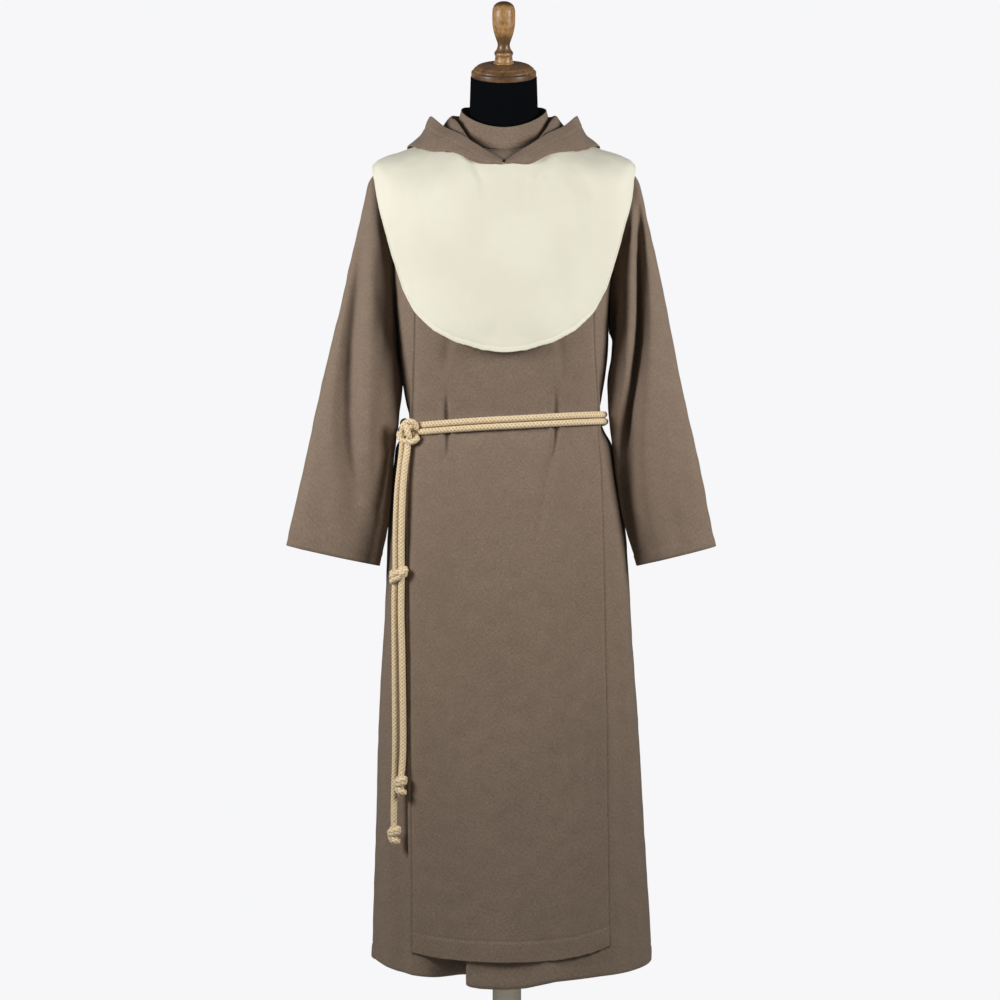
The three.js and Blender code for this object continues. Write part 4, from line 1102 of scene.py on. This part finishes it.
HOOD_HEM = 0.02
HOOD_STATIONS = [
    # angle; reach and height of rim, belly, fold, hollow, crest, seam
    (-88.5, (108, 1560), (113.5, 1557.5), (117, 1553.5), (115, 1551.5), (111.5, 1553), (110, 1556)),
    (-67, (107, 1585), (117, 1573), (122.5, 1562), (118.5, 1555.5), (107, 1568), (106, 1568)),
    (-45, (104, 1609), (116, 1593), (123, 1576), (113, 1578), (95, 1606), (93, 1597)),
    (-23, (112, 1627), (130, 1607), (143, 1583), (114, 1597), (91, 1636), (88, 1617)),
    (0, (127, 1651), (142, 1622), (166, 1599), (118, 1618), (91, 1650), (87, 1628)),
    (25, (138, 1650), (157, 1619), (180, 1590), (128, 1624), (93, 1655), (86, 1641)),
    (48, (141, 1638), (178, 1588), (176, 1512), (132, 1600), (92, 1657), (82, 1645)),
    (70, (146, 1616), (174, 1540), (155, 1430), (124, 1562), (92, 1660), (80, 1646)),
    (90, (149, 1602), (168, 1505), (142, 1385), (120, 1540), (92, 1660), (79, 1646)),
]


def flowing(points, count):
    """Points on smooth curves through the rows of an array, as far apart as the rows are."""
    line = np.array(points, float)
    line = np.concatenate([[2 * line[0] - line[1]], line, [2 * line[-1] - line[-2]]])
    t = np.linspace(0, len(points) - 1, count)
    i = np.minimum(t.astype(int), len(points) - 2)
    s = (t - i).reshape([-1] + [1] * (line.ndim - 1))
    a, b, c, d = line[i], line[i + 1], line[i + 2], line[i + 3]
    return 0.5 * (
        2 * b + (c - a) * s + (2 * a - 5 * b + 4 * c - d) * s * s + (3 * b - a - 3 * c + d) * s ** 3)


def hood_half(side):
    rows, columns = 84, 118
    sections = []
    for angle, *line in HOOD_STATIONS:
        turn = math.radians(angle)
        sections.append([
            (NECK_X + side * reach * math.cos(turn), reach * math.sin(turn), z) for reach, z in line])
    sections = flowing(np.array(sections).transpose(1, 0, 2), rows)
    grid = flowing(sections.transpose(1, 0, 2), columns).transpose(1, 0, 2) / 1000
    return grid if side > 0 else grid[:, ::-1]


for name, side, seed in (("hood_left", 1, 51), ("hood_right", -1, 53)):
    grid = hood_half(side)
    middle = -1 if side > 0 else 0
    lift = uneven_lie(grid, seed, 60, 0.0007, 24, 0.0002)
    lift += hem_line(grid, HOOD_HEM, edge=0)
    lift += seam_line(grid, (middle,), 0.001, 0.003)
    grid = raised(grid, lift)
    grid[:, middle, 0] = NECK_X / 1000 + side * SEAM_HALF_GAP
    cloth(name, grid, WOOL, brown, "wool")

# ---- Rope belt
# One braided cotton rope, doubled around the waist and hitched at the wearer's right, where
# its two ends hang down. Both are tied together half way, and each ends in a knot.

ROPE = 11.5
ROPE_PITCH = 12
BELT_TOP = 1123
BELT_TILT = 0.066
BELT_HALF = 172       # half the belt's width
BELT_RISE = 11        # how much higher it comes round the wearer's right side
BELT_CLIMB = [(1.8, 1.2), (3.25, 0.33)]   # angles where it climbs and falls, and over how much
WAIST_RING = 7        # of the tunic, above the belt
BELT_LIFT = SCAPULAR_LIFT * 1000 + ROPE / 2 + 1.6
BELT_PRESSED = ROPE / 2 + 0.9   # at the sides, where nothing but the tunic lies under it
STRANDS = 8
STRAND_DEPTH = 0.11   # a share of the rope's radius
PICK = 0.0062   # length of a crossing of the braid
STEP = 0.0014   # between the rings of points along the rope, and their number round it
AROUND = 18


def rope_finish(name):
    """Straw-coloured cotton, with painted light on top of each strand and painted shade between the strands.
    """
    made = Finish(name, Roughness=0.9, Sheen_Weight=0.2, Sheen_Roughness=0.5,
                  Specular_IOR_Level=0.2)
    cut = made.cut()
    fibre = made.streaks(cut, (900, 2600, 1), 3)
    fuzz = made.noise(made.place(), 300, 3)
    painted_braid_shade = made.node("Attribute", {"attribute_name": "braid"}, {}, 2)
    # painted shade: darker between the strands and paler on their tops, from each point's height on the braid
    top = (painted_braid_shade + fibre * 0.5 - 0.25).between(-0.2, 0.8)
    colour = made.mix(top, linear(197, 168, 126), linear(238, 219, 184))
    made.show("Base Color", made.shade(colour, fuzz * 0.25 + 0.87))
    made.bump(fibre + fuzz, 0.0004, 0.5)
    return made


straw = rope_finish("straw_rope")


def along(points, step):
    """Points on a smooth curve through some others in mm, so many metres apart."""
    line = flowing(np.array(points, float) / 1000, 40 * len(points))
    run = run_along(line)
    return points_at(np.linspace(0, run[-1], max(6, round(run[-1] / step))), run, line)


def braided(node, runs, radius=ROPE / 2000):
    """Braided rope along one or more lines of points in mm, as one piece."""
    points, faces, uvs, tops = [], [], [], []
    total = 0
    for line in runs:
        path = along(line, STEP)
        count = len(path)
        ahead = np.gradient(path, axis=0)
        ahead /= np.linalg.norm(ahead, axis=1, keepdims=True)
        side = np.cross(ahead[0], [0.3, 0.2, 0.93])   # any direction that no rope starts in
        frames = []
        for direction in ahead:
            side = side - direction * (side @ direction)
            side /= np.linalg.norm(side)
            frames.append((side, np.cross(direction, side)))
        frames = np.array(frames)
        turn = round_turn(AROUND)
        run = np.arange(count)[:, None] * STEP
        one = np.cos(STRANDS / 2 * turn + run * 2 * math.pi / PICK)
        other = np.cos(STRANDS / 2 * turn - run * 2 * math.pi / PICK)
        over = np.maximum(one, other)
        end = np.minimum(np.arange(count), np.arange(count)[::-1]) * STEP / radius
        dome = np.sqrt(np.clip(1 - np.clip(1 - end, 0, 1) ** 2, 0.0, 1))
        size = radius * (1 - STRAND_DEPTH + STRAND_DEPTH * over) * np.maximum(dome, 0.02)[:, None]
        ring = (path[:, None]
                + frames[:, None, 0] * (size * np.cos(turn))[..., None]
                + frames[:, None, 1] * (size * np.sin(turn))[..., None])
        at, after = ring_numbers(count, AROUND, total)
        faces += quads(at[:-1], after[:-1], after[1:], at[1:])
        u = np.broadcast_to(np.arange(AROUND + 1) * 2 * math.pi * radius / AROUND, (count, AROUND + 1))
        v = np.broadcast_to(run, u.shape)
        at_uv = np.stack([u, v], -1)
        uvs += np.stack(
            [at_uv[:-1, :-1], at_uv[:-1, 1:], at_uv[1:, 1:], at_uv[1:, :-1]], 2).reshape(-1, 2).tolist()
        faces += [at[0, ::-1].tolist(), at[-1].tolist()]
        uvs += [[0.0, 0.0]] * (2 * AROUND)
        points += ring.reshape(-1, 3).tolist()
        tops += over.ravel().tolist()
        total += count * AROUND
    piece = part(f"{node}_rope", np.array(points), faces, straw, node, "rope", np.array(uvs))
    # each point's height on the braid, which the finish turns into painted shade between the strands
    shade = piece.data.attributes.new("braid", "FLOAT", "POINT")
    shade.data.foreach_set("value", np.array(tops, np.float32))
    return piece


def belt_line(strand):
    """The line of a strand around the waist, from the knot round the front and the back."""
    line = []
    for angle in np.radians(np.linspace(-152, 205, 60)):
        climb = eased(np.clip([(angle - start) / width for start, width in BELT_CLIMB], 0, 1))
        z = (BELT_TOP + BELT_TILT * BELT_HALF * math.cos(angle) + BELT_RISE * climb[0] * (1 - climb[1])
             - ROPE / 2 - strand * ROPE_PITCH)
        heights = between_rows(TUNIC_RINGS, np.arange(WAIST_RING, LAST))[:, 1]
        t = WAIST_RING + np.interp(-z, -heights, np.arange(len(heights)))
        side, _, in_front, _, behind, _, square, middle, _ = between_rows(TUNIC_RINGS, t)
        c, s = math.cos(angle), math.sin(angle)
        over = min(max(5 * abs(s) - 0.25, 0), 1)
        lift = BELT_PRESSED + (BELT_LIFT - BELT_PRESSED) * eased(over)
        depth = (in_front if s < 0 else behind) + lift
        line.append((
            middle + (side + lift) * powered(c, 2 / square), depth * powered(s, 2 / square), z))
    return line


TAIL_LONG = [
    (-179, -79, 1082), (-180, -82, 1066), (-182.8, -86, 1040), (-187, -92, 1000), (-189, -97, 960),
    (-190, -100.5, 920), (-190, -104, 885), (-190, -107, 852), (-191.5, -110, 820),
    (-191.5, -113, 780), (-191, -117, 730), (-190.5, -121, 680), (-190, -125, 630),
    (-189.5, -129, 580), (-189.7, -132.5, 535), (-191, -135.5, 490), (-191.5, -139, 455),
    (-191.5, -141, 431),
]
TAIL_SHORT = [
    (-170, -89, 1082), (-170.8, -92.5, 1066), (-174.3, -97, 1040), (-177.8, -102, 1000),
    (-179.3, -106.5, 960), (-180, -109.5, 920), (-180, -112, 885), (-179.5, -114.5, 852),
    (-180, -117, 820), (-180, -120, 780), (-178.5, -124, 730), (-177.5, -128, 680),
    (-176.5, -132, 630), (-176, -136, 580), (-176.5, -140.5, 545), (-178.5, -145, 517),
]


def wrap(x, y, z, wide, deep, rise, lean, start, turns):
    """A turn of rope wound around a middle: half width and depth, its rise and its lean."""
    steps = 14
    line = []
    for k in range(int(steps * turns) + 1):
        angle = math.radians(start) + 2 * math.pi * k / steps
        line.append((
            x + wide * math.cos(angle), y + deep * math.sin(angle),
            z + rise * k / steps + lean * math.cos(angle)))
    return line


braided("belt_knot", [
    [(-179, -80, 1088), (-179.5, -86, 1098), (-177, -90, 1108), (-170, -92, 1114), (-161, -91.5, 1113),
     (-156, -88, 1106), (-157, -83, 1098)],
    [(-154, -84, 1093), (-159, -91, 1084), (-168, -93.5, 1081), (-177, -90, 1081.5), (-184, -82, 1088),
     (-184.5, -73, 1098)],
    [(-173, -88, 1109), (-171.5, -96, 1102), (-168.5, -98, 1092), (-166.5, -93, 1083)],
    [(-170, -91, 1079), (-162, -96, 1079.5), (-155, -95.5, 1084), (-153, -91, 1089)],
], 0.0054)
braided("knot_middle", [
    wrap(-185, -111, 845, 11, 9, 9, 4, -200, 1.15),
    wrap(-185, -111, 855, 11, 9, 6, 5, -190, 1.1),
    [(-184, -121, 850), (-176, -123, 857), (-169, -120, 864)],
], 0.0054)
knot_short_end = braided("knot_short_end", [
    wrap(-180, -149.5, 500, 7, 5.5, 5, 1.5, -200, 2),
    wrap(-179.5, -150, 487, 5.6, 5, 3, -2, -170, 1.3),
    [(-178, -144.5, 524), (-179, -148, 511), (-179.5, -150, 495), (-179.5, -150.5, 479)],
], 0.0052)
knot_long_end = braided("knot_long_end", [
    wrap(-191, -143, 415.5, 7.2, 5.5, 4.5, 1.5, -200, 2),
    wrap(-190.5, -143.5, 403.5, 5.8, 5, 3, -2, -170, 1.3),
    [(-191.5, -140.6, 438), (-191.3, -142, 424), (-190.8, -143, 410), (-190.5, -144, 396.5)],
], 0.0052)


def rope(name, line):
    """A free stretch of the rope, whose length is worked out."""
    piece = braided(name, [line])
    path = along(line, 0.006)
    length = float(run_along(path)[-1])


rope("belt_upper", belt_line(0))
rope("belt_lower", belt_line(1))
rope("tail_long", TAIL_LONG)
rope("tail_short", TAIL_SHORT)

# ---- Floor
# A small round pale floor under the stand.

floor_finish = Finish("pale_floor", Roughness=0.8)
floor_finish.shader.inputs["Base Color"].default_value = linear(238, 238, 240)
FLOOR_RADIUS = 0.47
ring = [(FLOOR_RADIUS * math.cos(a), FLOOR_RADIUS * math.sin(a), -0.0005) for a in round_turn(160)]
shown("floor", ring, [list(range(160))], floor_finish)
